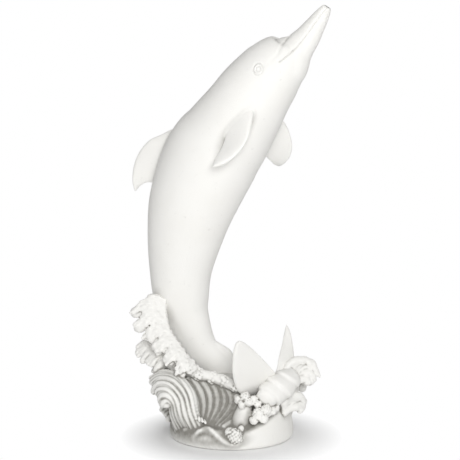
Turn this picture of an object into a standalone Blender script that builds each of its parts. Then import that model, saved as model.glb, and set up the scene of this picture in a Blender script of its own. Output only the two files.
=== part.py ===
"""A dolphin spitter for a garden pond: one stone-resin casting with a water tube cast into it.

The dolphin leaps out of a round base of curling waves. The frame is the statue as it is shown:
+X to the right, +Y away from the viewer, +Z up, with the origin at the middle of the flat underside.
Metres throughout.
"""

import math

import bmesh
import bpy
import numpy as np

MM = 0.001

# Body of water: an oval foot, and an oval core that rises from it to a rounded top
FOOT_HALF_WIDTH = 80 * MM
FOOT_HALF_DEPTH = 72 * MM
FOOT_EDGE_ROUND = 5 * MM
FOOT_EDGE_INSET = 4 * MM
FOOT_SHOULDER = 13 * MM
CORE_HALF_WIDTH = 47 * MM
CORE_HALF_DEPTH = 33 * MM
CORE_TOP = 88 * MM
CORE_TOP_ROUND = 20 * MM

# Dolphin: its plane of symmetry is upright, and turned this far towards the viewer
DOLPHIN_TURN = math.radians(20)
FLUKE_TURN = math.radians(30)
FLIPPER_THICKNESS = 9 * MM
DORSAL_THICKNESS = 13 * MM
FLUKE_THICKNESS = 9 * MM
TAIL_KEEL_THICKNESS = 12 * MM
MOUTH_GROOVE = 0.9 * MM
EYE_BEHIND_BROW = 62.4 * MM
EYE_ABOVE_MIDDLE = 0.285
EYE_BALL_RADIUS = 3.6 * MM
EYE_RING_HALF_WIDTH = 1.1 * MM
EYE_GROOVE = 0.2 * MM
EYE_RING_RADIUS = EYE_BALL_RADIUS + EYE_GROOVE + EYE_RING_HALF_WIDTH

# Water tube, of a common 6 by 4 mm size
TUBE_OUTER = 6 * MM
TUBE_BORE = 4 * MM
TUBE_CLEARANCE = 0.3 * MM
TUBE_STUB = 16 * MM
TUBE_SIDES = 8
TUBE_RINGS = 34
TUBE_EXIT = (-6 * MM, 22 * MM)
# From the tail down through the core of the base, millimetres
TUBE_BEND = [(-22, 8, 98), (-10, 8, 80), (-9, 18, 56), (-8, 40, 32)]

# Faces
BODY_RINGS = 42
BODY_SIDES = 22
WAVE_VOXEL = 1.4 * MM
WAVE_TRIANGLES = 6300

# Dolphin's trunk from tail stock to brow, millimetres in its plane: forward of the statue's
# axis, height, half depth from back to belly, half width
TRUNK = np.array(
    [
        (50, 80, 6, 7),
        (36, 73, 10, 9),
        (11.5, 79, 15, 11),
        (-17, 93, 19.5, 13.5),
        (-42, 113, 22.5, 17.5),
        (-60, 146, 29.5, 24),
        (-68.7, 174, 36, 30.5),
        (-70, 214, 41, 36.5),
        (-63.8, 260, 49.5, 44),
        (-51.9, 307, 57, 51),
        (-27.6, 361, 61, 55),
        (-6.7, 390, 57, 53),
        (14.3, 420, 51.5, 49),
        (30.2, 444, 47.5, 45.5),
        (49.2, 468, 42.5, 40),
        (58.4, 478.5, 39, 36),
        (69.3, 491, 33.7, 29.5),
        (77.3, 501.5, 26, 22),
        (79.8, 508, 17, 14),
        (82, 514.5, 0, 0),
    ]
)

# Beak from inside the head to its blunt end, in the same terms
BEAK = np.array(
    [
        (50, 457, 22, 20),
        (61.8, 467, 27, 26),
        (71.9, 478, 26.5, 26),
        (78, 487.5, 24.8, 23.5),
        (84.3, 497, 21.4, 20),
        (90.7, 505, 18.7, 17.3),
        (99.5, 515.5, 15.9, 14.7),
        (108.6, 528.7, 12.7, 12),
        (115.5, 539, 10.2, 9.8),
        (119.5, 545, 8.3, 8.3),
        (122.2, 549.2, 6.9, 6.9),
        (124, 552, 5.2, 5.2),
    ]
)

# Leading and trailing edges of the fins, millimetres: forward, towards the viewer, height
RIGHT_FLIPPER = (
    [(38, 14, 435), (43, 38, 429), (44.7, 50, 413), (43, 60, 394.5), (35.6, 68, 379), (19.7, 74, 364.5), (3, 78, 358.7)],
    [(16, 14, 430), (21, 38, 427), (15.2, 44, 414), (11.5, 50, 398.6), (9.2, 58, 383.3), (4.5, 68, 369.4), (2.5, 78, 358.2)],
)
LEFT_FLIPPER = (
    [(38, -14, 424), (42, -36, 422), (51, -48, 409), (56.8, -58, 394.2), (58.6, -68, 372.7), (52.2, -74, 356.3), (37, -80, 345)],
    [(6, -14, 392), (8, -36, 388), (17, -46, 370), (24.5, -56, 360.8), (29.8, -66, 352), (32.5, -74, 347), (36.4, -80, 344.6)],
)
DORSAL_FIN = (
    [(-62, 0, 394), (-80, 0, 396), (-95, 0, 389), (-112, 0, 381), (-125, 0, 367), (-133, 0, 350), (-136, 0, 330), (-133.5, 0, 313)],
    [(-70, 0, 318), (-92, 0, 322), (-104, 0, 325), (-114, 0, 326), (-121, 0, 324), (-126.5, 0, 320), (-130.5, 0, 316), (-133, 0, 312.6)],
)
TAIL_KEEL = (
    [(-26, 0, 128), (-12, 0, 122), (-1, 0, 115), (3, 0, 106), (6, 0, 96)],
    [(-36, 0, 112), (-26, 0, 106), (-14, 0, 98), (-6, 0, 92), (0, 0, 86)],
)
# The flukes are turned further, about the statue's axis
RIGHT_FLUKE = (
    [(46, 4, 70), (38, 16, 64), (32, 36, 69), (33.2, 54, 92.7), (38.2, 64, 118.5), (43.5, 68, 137), (49.6, 68.3, 144.8)],
    [(66, 2, 90), (69, 10, 95.3), (65.5, 20, 106), (61.3, 31, 117.5), (56.5, 44, 130), (53, 57, 140), (50.2, 68, 145.2)],
)
LEFT_FLUKE = (
    [(50, 2, 66), (64, -8, 71), (77, -16, 82), (77, -27, 97), (69.6, -38, 114.9), (61.5, -46, 134), (54.2, -49, 144.5)],
    [(64, 4, 88), (66.5, 0, 97), (64, -8, 107), (61.1, -18, 114.5), (57.5, -31, 124.5), (54.6, -41, 134), (53.4, -48.7, 144.2)],
)

# Height of the foot's upper edge by degrees round the statue (0 right, 270 front), and how far its
# wall leans in by height, millimetres
APRON = [
    (0, 50), (30, 50), (60, 42), (90, 38), (120, 40), (150, 46), (180, 46), (200, 38),
    (218, 32), (246, 30), (270, 28), (286, 27), (298, 31), (315, 38), (333, 45),
]
WALL_LEAN = [(0, 0), (12, 0), (24, 1.5), (36, 4.5), (48, 8), (60, 11), (80, 16), (100, 24)]

# Fingers of water, (x, y, z) from root to tip: each group's first, between and last guides
BACK_CREST = [
    [(-82, 2, 176), (-102, 4, 182), (-124, 4, 172)],
    [(-82, -4, 163), (-106, -4, 167), (-129, -3, 154)],
    [(-80, -10, 151), (-102, -11, 153), (-121, -8, 140)],
    [(-76, -16, 140), (-94, -17, 141), (-110, -14, 128)],
    [(-68, -21, 129), (-85, -24, 129), (-99, -22, 116)],
    [(-60, -26, 118), (-74, -31, 118), (-86, -30, 105)],
    [(-51, -30, 107), (-63, -37, 107), (-75, -38, 94)],
    [(-42, -33, 98), (-53, -42, 97), (-60, -44, 84)],
]
LEFT_CURL = [
    [(-78, 18, 100), (-106, 12, 120), (-124, 10, 112)],
    [(-78, 8, 98), (-105, 4, 114), (-120, 1, 102)],
    [(-76, -4, 93), (-96, -8, 108), (-110, -11, 97)],
    [(-72, -12, 90), (-86, -17, 102), (-97, -20, 91)],
]
MAIN_CREST = [
    [(-36, -48, 2), (-41, -55, 24), (-46, -57, 46), (-52, -51, 70), (-67, -39, 86), (-86, -27, 89), (-101, -17, 82)],
    [(-43, -45, 1), (-48, -53, 22), (-53, -58, 44), (-60, -54, 67), (-74, -46, 82), (-90, -36, 83), (-101, -28, 74)],
    [(-51, -40, 0), (-57, -47, 20), (-61, -56, 42), (-67, -58, 63), (-79, -54, 76), (-91, -46, 75), (-97, -40, 66)],
    [(-58, -33, 0), (-64, -40, 19), (-67, -50, 40), (-71, -57, 58), (-79, -59, 68), (-86, -55, 67), (-90, -50, 59)],
    [(-63, -26, 0), (-69, -32, 18), (-72, -42, 36), (-74, -51, 52), (-78, -56, 59), (-82, -57, 57), (-84, -54, 51)],
]
SHELL_CURL = [
    [(-68, 16, 44), (-84, 13, 51), (-94, 11, 46)],
    [(-68, 8, 36), (-84, 5, 43), (-94, 3, 37)],
    [(-68, 2, 29), (-82, -1, 35), (-89, -4, 29)],
    [(-68, -4, 23), (-78, -8, 28), (-83, -11, 22)],
]
FAN = [
    [(-44, -52, 26), (-45, -48, 50), (-50, -43, 68), (-60, -38, 84)],
    [(-38, -53, 25), (-35, -42, 50), (-39, -37, 69), (-51, -33, 86)],
    [(-33, -54, 25), (-25, -40, 50), (-27, -34, 69), (-40, -30, 86)],
    [(-29, -55, 24), (-15, -40, 48), (-15, -33, 67), (-27, -29, 84)],
    [(-24, -57, 24), (-6, -42, 46), (-3, -35, 63), (-13, -31, 80)],
    [(-19, -59, 25), (0, -47, 41), (7, -41, 53), (4, -37, 68)],
    [(-13, -61, 26), (3, -54, 35), (11, -49, 42), (14, -45, 53)],
]
FAN_BACKING = np.array(FAN, float) + (0, 7, 0)
UNDER_TAIL = [
    [(-52, -28, 101), (-58, -40, 96), (-55, -45, 86)],
    [(-38, -28, 96), (-41, -42, 92), (-40, -45, 82)],
    [(-24, -28, 92), (-25, -42, 88), (-26, -45, 79)],
    [(-10, -28, 88), (-9, -42, 84), (-11, -45, 75)],
    [(2, -30, 83), (5, -43, 78), (6, -46, 68)],
]
FOAM_LIP = [
    [(-50, -54, 40), (-52, -59, 43), (-53, -62, 39)],
    [(-45, -54, 40), (-46, -60, 43), (-46, -63, 38)],
    [(-40, -55, 38), (-40, -60, 41), (-39, -64, 36)],
    [(-35, -56, 35), (-34, -61, 37), (-32, -65, 33)],
]
STEM = [
    [(-67, -27, 0), (-71, -31, 22), (-73, -36, 44), (-78, -42, 60)],
    [(-72, -16, 0), (-73, -16, 22), (-73, -16, 44), (-78, -17, 62)],
    [(-73, 0, 0), (-72, 0, 22), (-71, 0, 44), (-76, 0, 66)],
    [(-69, 18, 0), (-68, 18, 22), (-67, 18, 44), (-74, 18, 66)],
]
ROLL_HEAD = [
    [(68, -32, 84), (72, -26, 99), (84, -20, 105), (94, -18, 101)],
    [(76, -24, 84), (82, -20, 100), (95, -16, 104), (104, -15, 96)],
    [(80, -22, 82), (88, -16, 96), (102, -14, 98), (110, -14, 88)],
    [(80, -24, 78), (89, -19, 88), (101, -17, 89), (107, -17, 79)],
    [(77, -28, 75), (86, -24, 80), (95, -22, 80), (99, -22, 71)],
]
LOW_CURL = [
    [(62, -36, 50), (74, -29, 60), (86, -22, 58), (93, -18, 50)],
    [(64, -33, 44), (77, -25, 52), (88, -17, 51), (94, -13, 43)],
    [(64, -34, 38), (76, -28, 44), (85, -23, 44), (90, -20, 36)],
]

# The front's forms carried to the rear: turned by degrees, at a share of their distance from the
# dolphin's plane, and lowered
REAR_TURN = 35
SIDE_TURN = 168
REAR_BACK_SHARE = 0.75
REAR_BACK_DROP = 6
REAR_CREST_SHARE = 0.95

# Rolls that lie on the body of water: degrees, height, lift off it, radius
FRONT_RIM = [
    (228, 10, 0, 1), (232, 18, 0.8, 1.8), (237, 25, 1.4, 2.4), (243, 28, 1.5, 2.6), (250, 26, 1.5, 2.6),
    (257, 19, 1.5, 2.4), (265, 12, 1.5, 2.4), (273, 10, 1.6, 2.4), (279, 15, 1.6, 2.4), (283, 24, 0, 1.6),
]
FRONT_BAND = [(216, 20, 0, 2), (223, 27, 1, 3.5), (232, 32, 1, 4.5), (242, 33, 0, 4.5), (252, 32, -1, 4), (262, 29, -2, 2)]
FRONT_SWELL = [(232, 8, -1.5, 1), (238, 14, -1, 2.5), (246, 15, -1, 2.5), (254, 10, -1.5, 1)]
RIGHT_RIDGE = [
    (283, 25, -1, 2), (292, 30, 1, 4), (302, 35, 1.5, 5.5), (313, 41, 2, 6), (325, 46, 2.5, 6), (336, 47, 1, 4),
]

# Rolls in the open: (x, y, z, radius)
CENTRE_STEM = [(8, -52, 22, 8), (12, -56, 34, 9), (15, -56, 48, 9.5), (18, -53, 60, 9)]
TAIL_FOAM = [(-54, -38, 94, 5), (-40, -38, 90, 7), (-24, -37, 86, 7.5), (-9, -37, 82, 7.5), (4, -39, 76, 6)]
RIGHT_ROLL = [
    (38, -60, 63, 5), (41, -56, 65, 11), (47, -51, 68, 15), (55, -45, 72, 17), (64, -38, 77, 17),
    (73, -31, 83, 14.5), (82, -25, 89, 10),
]
FOAM_BED = [(26, -58, 38, 5), (36, -58, 44, 8), (46, -54, 48, 8), (56, -48, 50, 6)]

# Lumps of foam: (x, y, z, radius)
FRONT_BALL = [(2, -73, 23, 10), (11, -70, 33, 4.5), (-7, -71, 30, 5)]
CENTRE_FOAM = [(9, -54, 62, 6), (17, -54, 66, 7), (27, -56, 62, 6.5), (13, -58, 57, 5.5), (22, -59, 60, 6), (33, -57, 57, 5)]
RIGHT_FOAM = [(34, -63, 46, 8.5), (43, -60, 50, 8), (51, -56, 48, 6), (40, -65, 41, 6.5), (28, -64, 38, 6), (56, -51, 50, 5)]
REAR_FOAM = [(16, 62, 40, 8), (27, 58, 44, 7), (5, 64, 38, 6), (36, 52, 47, 6), (22, 66, 33, 6)]

# How many fingers a crest has, their radius, share of it at the root, and lobes of the lip
BACK_FINGERS = (20, 5.4, 0.6, 6)
MAIN_FINGERS = (8, 5.6, 0.8, 0)
FAN_FINGERS = (9, 3.8, 0.7, 0)
FRONT_CRESTS = [
    (BACK_CREST, 14, 7, 0.9, 0),
    (BACK_CREST, *BACK_FINGERS),
    (LEFT_CURL, 6, 6, 0.7, 0),
    (MAIN_CREST, *MAIN_FINGERS),
    (SHELL_CURL, 6, 4.2, 0.8, 0),
    (FAN, *FAN_FINGERS),
    (FAN_BACKING, 5, 8, 0.9, 0),
    (UNDER_TAIL, 6, 5.5, 0.8, 3),
    (FOAM_LIP, 4, 2, 0.8, 0),
    (STEM, 8, 5, 1, 0),
    (ROLL_HEAD, 5, 6.6, 0.9, 0),
    (LOW_CURL, 4, 5, 0.8, 0),
]
SWELLS = [FRONT_RIM, FRONT_BAND, FRONT_SWELL, RIGHT_RIDGE]
# Path and ribs of each roll in the open, and how much a rib swells
ROLLS = [(TAIL_FOAM, 0), (RIGHT_ROLL, 5), (CENTRE_STEM, 0), (FOAM_BED, 0)]
RIB_DEPTH = 0.32
FOAM_GRAINS = 14


def smooth_through(rows, count):
    """Catmull-Rom curve through rows of numbers, or of whole arrays: count of them, ends included."""
    rows = np.asarray(rows, float)
    padded = np.concatenate([[2 * rows[0] - rows[1]], rows, [2 * rows[-1] - rows[-2]]])
    place = np.linspace(0, len(rows) - 1, count)
    index = np.minimum(place.astype(int), len(rows) - 2)
    t = (place - index).reshape((-1,) + (1,) * (rows.ndim - 1))
    a, b, c, d = (padded[index + k] for k in range(4))
    return 0.5 * (2 * b + (c - a) * t + (2 * a - 5 * b + 4 * c - d) * t**2 + (3 * b - a - 3 * c + d) * t**3)


def unit(vectors):
    return vectors / np.maximum(np.linalg.norm(vectors, axis=-1, keepdims=True), 1e-12)


def turned(rows, turn):
    """(forward, towards the viewer, height) in millimetres to the statue's frame."""
    forward, side, height = np.moveaxis(np.asarray(rows, float), -1, 0) * MM
    x = forward * math.cos(turn) - side * math.sin(turn)
    y = -forward * math.sin(turn) - side * math.cos(turn)
    return np.stack([x, y, height], axis=-1)


def oval(angle, half_width, half_depth):
    """An oval's distance from its middle at an angle in radians."""
    return 1 / np.hypot(np.cos(angle) / half_width, np.sin(angle) / half_depth)


def hidden(obj):
    """Keeps a cutter or a piece that is joined to another out of the model."""
    obj.hide_render = True
    obj.display_type = "WIRE"
    return obj


def skin(name, rings, ends=None):
    """A closed mesh over rings of points, each end drawn together at its pole."""
    count, sides, _ = rings.shape
    poles = np.array([rings[0].mean(0), rings[-1].mean(0)] if ends is None else ends)
    around = np.arange(sides)
    following = np.roll(around, -1)
    starts = np.arange(count - 1)[:, None] * sides
    quads = np.stack(
        [starts + around, starts + following, starts + sides + following, starts + sides + around], axis=-1
    ).reshape(-1, 4)
    last = (count - 1) * sides
    first_fan = [(count * sides, b, a) for a, b in zip(around, following)]
    last_fan = [(count * sides + 1, last + a, last + b) for a, b in zip(around, following)]
    return mesh_object(name, np.vstack([rings.reshape(-1, 3), poles]), [*quads.tolist(), *first_fan, *last_fan])


def mesh_object(name, points, faces):
    mesh = bpy.data.meshes.new(name)
    mesh.from_pydata(np.asarray(points).tolist(), [], faces)
    work = bmesh.new()
    work.from_mesh(mesh)
    bmesh.ops.recalc_face_normals(work, faces=work.faces)
    work.to_mesh(mesh)
    work.free()
    obj = bpy.data.objects.new(name, mesh)
    bpy.context.scene.collection.objects.link(obj)
    return obj


def trunk_skin(name, stations, count, sides):
    """Oval sections across a centreline in the dolphin's plane. Half sizes are interpolated as
    squares, so an end that closes is round."""
    rows = smooth_through(np.column_stack([stations[:, :2], stations[:, 2:] ** 2]), count)
    half = np.sqrt(np.maximum(rows[:, 2:], 0))
    ahead = unit(np.gradient(rows[:, :2], axis=0))
    to_belly = np.column_stack([ahead[:, 1], -ahead[:, 0]])
    around = np.linspace(0, 2 * math.pi, sides, endpoint=False)
    middle = rows[:, None, :2]
    in_plane = middle + to_belly[:, None] * (half[:, :1] * np.cos(around))[..., None]
    side = half[:, 1:] * np.sin(around)
    flat = np.stack([in_plane[..., 0], side, in_plane[..., 1]], axis=-1)
    rings = turned(flat, DOLPHIN_TURN)
    if half[-1].max() < MM / 10:
        return skin(name, rings[:-1], [rings[0].mean(0), rings[-1].mean(0)])
    return skin(name, rings)


def blade(name, edges, turn, thickness, count=13, sides=14):
    """A fin between a leading and a trailing edge, fuller ahead of its middle, and as thin as its
    chord where the tip closes."""
    lead, trail = (smooth_through(turned(edge, turn), count) for edge in edges)
    middle, half_chord = (lead + trail) / 2, (lead - trail) / 2
    face = unit(np.cross(np.gradient(middle, axis=0), half_chord))
    around = np.linspace(0, 2 * math.pi, sides, endpoint=False)
    depth = thickness / 2 * np.sqrt(np.minimum(1, 4 * np.linalg.norm(half_chord, axis=1) / thickness))
    lift = depth[:, None] * np.sin(around) * (0.85 + 0.25 * np.cos(around))
    return skin(name, middle[:, None] + half_chord[:, None] * np.cos(around)[:, None] + face[:, None] * lift[..., None])


def sweep(path, radius, sides):
    """Rings of the given radius across a path, with no twist worth speaking of."""
    ahead = unit(np.gradient(path, axis=0))
    across = unit(np.cross(ahead, (0.31, -0.93, 0.2)))
    over = np.cross(across, ahead)
    around = np.linspace(0, 2 * math.pi, sides, endpoint=False)
    way = across[:, None] * np.cos(around)[:, None] + over[:, None] * np.sin(around)[:, None]
    return path[:, None] + np.asarray(radius)[:, None, None] * way


def shells_of(points):
    """Points (shells, rings, sides, 3) and the quads between them, closed round the sides."""
    shells, rings, sides, _ = points.shape
    number = np.arange(shells * rings * sides).reshape(shells, rings, sides)
    beside = np.roll(number, -1, axis=2)
    faces = np.stack([number[:, :-1], beside[:, :-1], beside[:, 1:], number[:, 1:]], axis=-1)
    return points.reshape(-1, 3), faces.reshape(-1, 4)


def bars(paths, radius, sides=12):
    """Round bars along paths (bars, rings, 3), all in millimetres, drawn together at both ends."""
    ahead = unit(np.gradient(paths, axis=1))
    across = unit(np.cross(ahead, (0.001, 0, 1.0)))
    over = np.cross(across, ahead)
    around = np.linspace(0, 2 * math.pi, sides, endpoint=False)
    way = across[:, :, None] * np.cos(around)[:, None] + over[:, :, None] * np.sin(around)[:, None]
    return shells_of(paths[:, :, None] + radius[..., None, None] * way)


def closing(t, start, end):
    """1 along a bar, and down to 0 at both ends as a quarter of a circle."""
    tail = np.sqrt(1 - np.clip((t - 1 + end) / end, 0, 1) ** 2)
    return tail * np.sqrt(np.clip(t / start, 0, 1))


def fingers(guides, count, radius, root, lobes, rings=24):
    """Fingers of water side by side, which make a fluted sheet with a scalloped lip. Each follows the
    curve between the guides at its share of their number, and is a little longer or shorter and
    thicker or thinner than the next. Those between two lobes of the lip are shorter."""
    paths = smooth_through(np.asarray(guides, float), count)
    number = np.arange(count)
    gap = np.cos(math.pi * lobes * np.linspace(0, 1, count)) ** 4 if lobes else np.zeros(count)
    reach = 1 - 0.3 * gap + 0.08 * np.sin(2.4 * number)
    paths = np.moveaxis(smooth_through(np.moveaxis(paths, 0, 1), rings), 0, 1)
    t = np.linspace(0, 1, rings)
    paths = paths_at(paths, t * reach[:, None])
    profile = (root + (1 - root) * np.sin(math.pi / 2 * np.clip(1.25 * t, 0, 1))) * closing(t, 0.06, 0.14)
    size = (1 + 0.12 * np.sin(3.1 * number)) * (1 - 0.3 * gap)
    return bars(paths, radius * profile * size[:, None])


def paths_at(paths, along):
    """Points at given shares of each path's length, and straight on past its end."""
    rings = paths.shape[1]
    place = along * (rings - 1)
    index = np.clip(place.astype(int), 0, rings - 2)
    here = np.take_along_axis(paths, index[..., None], axis=1)
    ahead = np.take_along_axis(paths, index[..., None] + 1, axis=1)
    return here + (ahead - here) * (place - index)[..., None]


def roll(rows, ribs=0, rings=60, sides=24):
    """A roll of water along (x, y, z, radius) in millimetres. Its ribs are nested shells: each swells
    by RIB_DEPTH and steps down where the next begins."""
    rows = smooth_through(rows, rings)
    t = np.linspace(0, 1, rings)
    way = ribs * t % 1
    ring = np.minimum(3 * way, 1) - way if ribs else 0 * t
    return bars(rows[None, :, :3], (rows[:, 3] * closing(t, 0.05, 0.07) * (1 + RIB_DEPTH * ring))[None], sides)


def foam(lumps, grains=FOAM_GRAINS):
    """Lumps of foam, (x, y, z, radius) in millimetres: on each core, grains along a golden spiral."""
    lumps = np.asarray(lumps, float)
    k = np.arange(grains) + 0.5
    tilt = np.arccos(1 - 2 * k / grains)
    swing = math.pi * (1 + math.sqrt(5)) * k
    way = np.stack([np.sin(tilt) * np.cos(swing), np.sin(tilt) * np.sin(swing), np.cos(tilt)], axis=-1)
    centres = lumps[:, None, :3] + 0.66 * lumps[:, 3, None, None] * way
    radius = lumps[:, 3, None] * (0.42 + 0.09 * np.cos(3.7 * k))
    return [balls(lumps[:, :3], 0.8 * lumps[:, 3]), balls(centres.reshape(-1, 3), radius.reshape(-1))]


def balls(centres, radius, rings=8, sides=10):
    tilt = np.linspace(0, math.pi, rings)[:, None]
    around = np.linspace(0, 2 * math.pi, sides, endpoint=False)
    way = np.stack([np.sin(tilt) * np.cos(around), np.sin(tilt) * np.sin(around), np.cos(tilt) * np.ones(sides)], axis=-1)
    return shells_of(centres[:, None, None] + radius[:, None, None, None] * way)


def turned_about_axis(points, degrees):
    """Points turned about the statue's upright axis."""
    angle = math.radians(degrees)
    x, y, z = np.moveaxis(np.asarray(points, float), -1, 0)
    return np.stack([x * math.cos(angle) - y * math.sin(angle), x * math.sin(angle) + y * math.cos(angle), z], axis=-1)


def across_the_dolphin(guides, share, drop=0.0):
    """Guides carried to the far side of the dolphin's plane, at a share of their distance from it."""
    to_viewer = unit(turned([(0, 1, 0)], DOLPHIN_TURN))[0]
    guides = np.asarray(guides, float)
    return guides - (guides @ to_viewer * (1 + share))[..., None] * to_viewer - np.array([0, 0, drop])


def water_radius(angle, height):
    """Distance of the body of water from the statue's axis: an oval foot that leans in as it rises,
    stepped in smoothly to a narrower oval core above the foot's upper edge."""
    edge = np.clip(1 - height / FOOT_EDGE_ROUND, 0, 1)
    lean = smooth_through(WALL_LEAN, 200) * MM
    foot = oval(angle, FOOT_HALF_WIDTH, FOOT_HALF_DEPTH) - FOOT_EDGE_INSET * (1 - np.sqrt(1 - edge**2))
    foot = foot - np.interp(height, lean[:, 0], lean[:, 1])
    core = oval(angle, CORE_HALF_WIDTH, CORE_HALF_DEPTH)
    degrees, top = np.array(APRON, float).T
    shoulder = np.interp(np.degrees(angle) % 360, degrees, top * MM, period=360) - FOOT_SHOULDER * 0.4
    t = np.clip((height - shoulder) / FOOT_SHOULDER, 0, 1)
    return foot + (core - foot) * t * t * (3 - 2 * t)


def on_water(rows):
    """(degrees, height, lift off the water, radius) to (x, y, z, radius), in millimetres."""
    degrees, height, lift, radius = np.asarray(rows, float).T
    angle = np.radians(degrees)
    reach = water_radius(angle, height * MM) / MM + lift
    return np.column_stack([reach * np.cos(angle), reach * np.sin(angle), height, radius])


def body_of_water(turns=180, levels=70):
    """Rings of the water's radius up to a rounded top, where it falls as a quarter of a circle, in
    millimetres. The foot goes on below the floor, for the saw."""
    angle = np.linspace(0, 2 * math.pi, turns, endpoint=False)
    height = np.linspace(0, CORE_TOP, levels)[:, None]
    near_top = np.clip(1 - (CORE_TOP - height) / CORE_TOP_ROUND, 0, 1)
    reach = water_radius(angle, height) * np.sqrt(1 - near_top**2)
    rings = np.stack([reach * np.cos(angle), reach * np.sin(angle), height + 0 * angle], axis=-1)
    below = rings[0] - (0, 0, FOOT_EDGE_ROUND)
    poles = [np.broadcast_to(ring.mean(axis=0), ring.shape) for ring in (below, rings[-1])]
    return shells_of(np.stack([poles[0], below, *rings, poles[1]])[None] / MM)


def rear_waves():
    """The side that faces away carries crests of the same kind as the front's, turned round."""
    back = across_the_dolphin(BACK_CREST[1:], REAR_BACK_SHARE, REAR_BACK_DROP)
    crest = turned_about_axis(across_the_dolphin(MAIN_CREST, REAR_CREST_SHARE), REAR_TURN)
    fan = turned_about_axis(across_the_dolphin(FAN, REAR_CREST_SHARE), REAR_TURN)
    side_crest = turned_about_axis(MAIN_CREST, SIDE_TURN)
    return [
        fingers(back, *BACK_FINGERS),
        fingers(crest, *MAIN_FINGERS),
        fingers(side_crest, *MAIN_FINGERS),
        fingers(fan, *FAN_FINGERS),
        *foam(REAR_FOAM),
    ]


def waves():
    """All the water: the pieces overlap, one fine skin is drawn over them and smoothed, its faces are
    thinned where the surface is plain, and the foot is sawn flat."""
    shells = [
        body_of_water(),
        *(roll(on_water(rows)) for rows in SWELLS),
        *(roll(rows, ribs) for rows, ribs in ROLLS),
        *(fingers(*crest) for crest in FRONT_CRESTS),
        *foam(FRONT_BALL + CENTRE_FOAM + RIGHT_FOAM),
        *rear_waves(),
    ]
    starts = np.cumsum([0] + [len(points) for points, _ in shells])
    points = np.concatenate([points for points, _ in shells]) * MM
    faces = np.concatenate([faces + start for (_, faces), start in zip(shells, starts)])
    mass = mesh_object("waves", points, faces.tolist())
    remesh = mass.modifiers.new("one skin", "REMESH")
    remesh.mode = "VOXEL"
    remesh.voxel_size = WAVE_VOXEL
    ease = mass.modifiers.new("eased edges", "SMOOTH")
    ease.factor = 0.5
    ease.iterations = 3
    settle(mass)
    thin = mass.modifiers.new("fewer faces", "DECIMATE")
    thin.ratio = WAVE_TRIANGLES / sum(len(face.vertices) - 2 for face in mass.data.polygons)
    settle(mass)
    return cut(mass, box("saw", (0, 0, -10 * MM), (400 * MM, 400 * MM, 20 * MM)))


def without_bubbles(obj):
    """Keeps the casting's outer skin: a hollow that the water closes on all sides is filled."""
    work = bmesh.new()
    work.from_mesh(obj.data)
    left = set(work.verts)
    groups = []
    while left:
        group, edge = set(), {left.pop()}
        while edge:
            group |= edge
            edge = {link.other_vert(vert) for vert in edge for link in vert.link_edges} - group
        left -= group
        groups.append(group)
    largest = max(groups, key=len)
    bmesh.ops.delete(work, geom=[vert for vert in work.verts if vert not in largest], context="VERTS")
    work.to_mesh(obj.data)
    work.free()
    return obj


def settle(obj):
    """Applies the object's modifiers."""
    graph = bpy.context.evaluated_depsgraph_get()
    mesh = bpy.data.meshes.new_from_object(obj.evaluated_get(graph))
    obj.modifiers.clear()
    obj.data = mesh
    return obj


def cut(obj, tool, operation="DIFFERENCE"):
    """Cuts the tool from the object, or joins it on, and settles the result."""
    modifier = obj.modifiers.new(tool.name, "BOOLEAN")
    modifier.operation = operation
    modifier.object = tool
    modifier.solver = "EXACT"
    settle(obj)
    bpy.data.objects.remove(tool)
    return obj


def box(name, middle, size):
    bpy.ops.mesh.primitive_cube_add(size=1, location=middle)
    obj = bpy.context.object
    obj.name = name
    obj.data.transform(obj.matrix_world @ obj.matrix_world.inverted())
    obj.scale = size
    bpy.ops.object.transform_apply(location=False, rotation=False, scale=True)
    return hidden(obj)


def eye(side):
    """Ring and ball of one eye, on the flank of the head."""
    forward, across, height = eye_place()
    middle = turned([(forward, across * side, height)], DOLPHIN_TURN)[0]
    facing = unit(turned([(0.0, side, 0.12)], DOLPHIN_TURN)[0])
    upward = unit(np.array([0.55, 0, 1.0]) - facing * (facing @ np.array([0.55, 0, 1.0])))
    along = np.cross(facing, upward)
    turn = np.linspace(0, 2 * math.pi, 13)[:-1]
    line = middle + EYE_RING_RADIUS * (np.cos(turn)[:, None] * along + 1.15 * np.sin(turn)[:, None] * upward)
    section = np.linspace(0, 2 * math.pi, 6)[:-1]
    away = unit(line - middle)
    ring = line[:, None] + EYE_RING_HALF_WIDTH * (
        np.cos(section)[:, None] * away[:, None] + np.sin(section)[:, None] * facing
    )
    return closed_ring(f"eye_ring_{side}", ring), eye_ball(f"eye_ball_{side}", middle, facing, along, upward)


def eye_place():
    """The eye's place on the flank, in millimetres: so far behind the brow along the trunk's middle
    line, and above it by a share of the trunk's half depth."""
    rows = smooth_through(TRUNK, 400)
    steps = np.linalg.norm(np.diff(rows[:, :2], axis=0), axis=1)
    behind_brow = np.concatenate([np.cumsum(steps[::-1])[::-1], [0]]) * MM
    station = np.argmin(np.abs(behind_brow - EYE_BEHIND_BROW))
    forward, height, half_depth, half_width = rows[station]
    ahead = unit(rows[station + 1, :2] - rows[station - 1, :2])
    rise = half_depth * EYE_ABOVE_MIDDLE
    return forward - ahead[1] * rise, half_width * math.sqrt(1 - EYE_ABOVE_MIDDLE**2), height + ahead[0] * rise


def closed_ring(name, rings):
    """A closed loop of sections, such as a ring, or a tube's outside and inside in one."""
    count, sides, _ = rings.shape
    number = np.arange(count * sides).reshape(count, sides)
    nxt = np.roll(number, -1, axis=0)
    faces = np.stack([number, np.roll(number, -1, axis=1), np.roll(nxt, -1, axis=1), nxt], axis=-1)
    return mesh_object(name, rings.reshape(-1, 3), faces.reshape(-1, 4).tolist())


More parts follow.
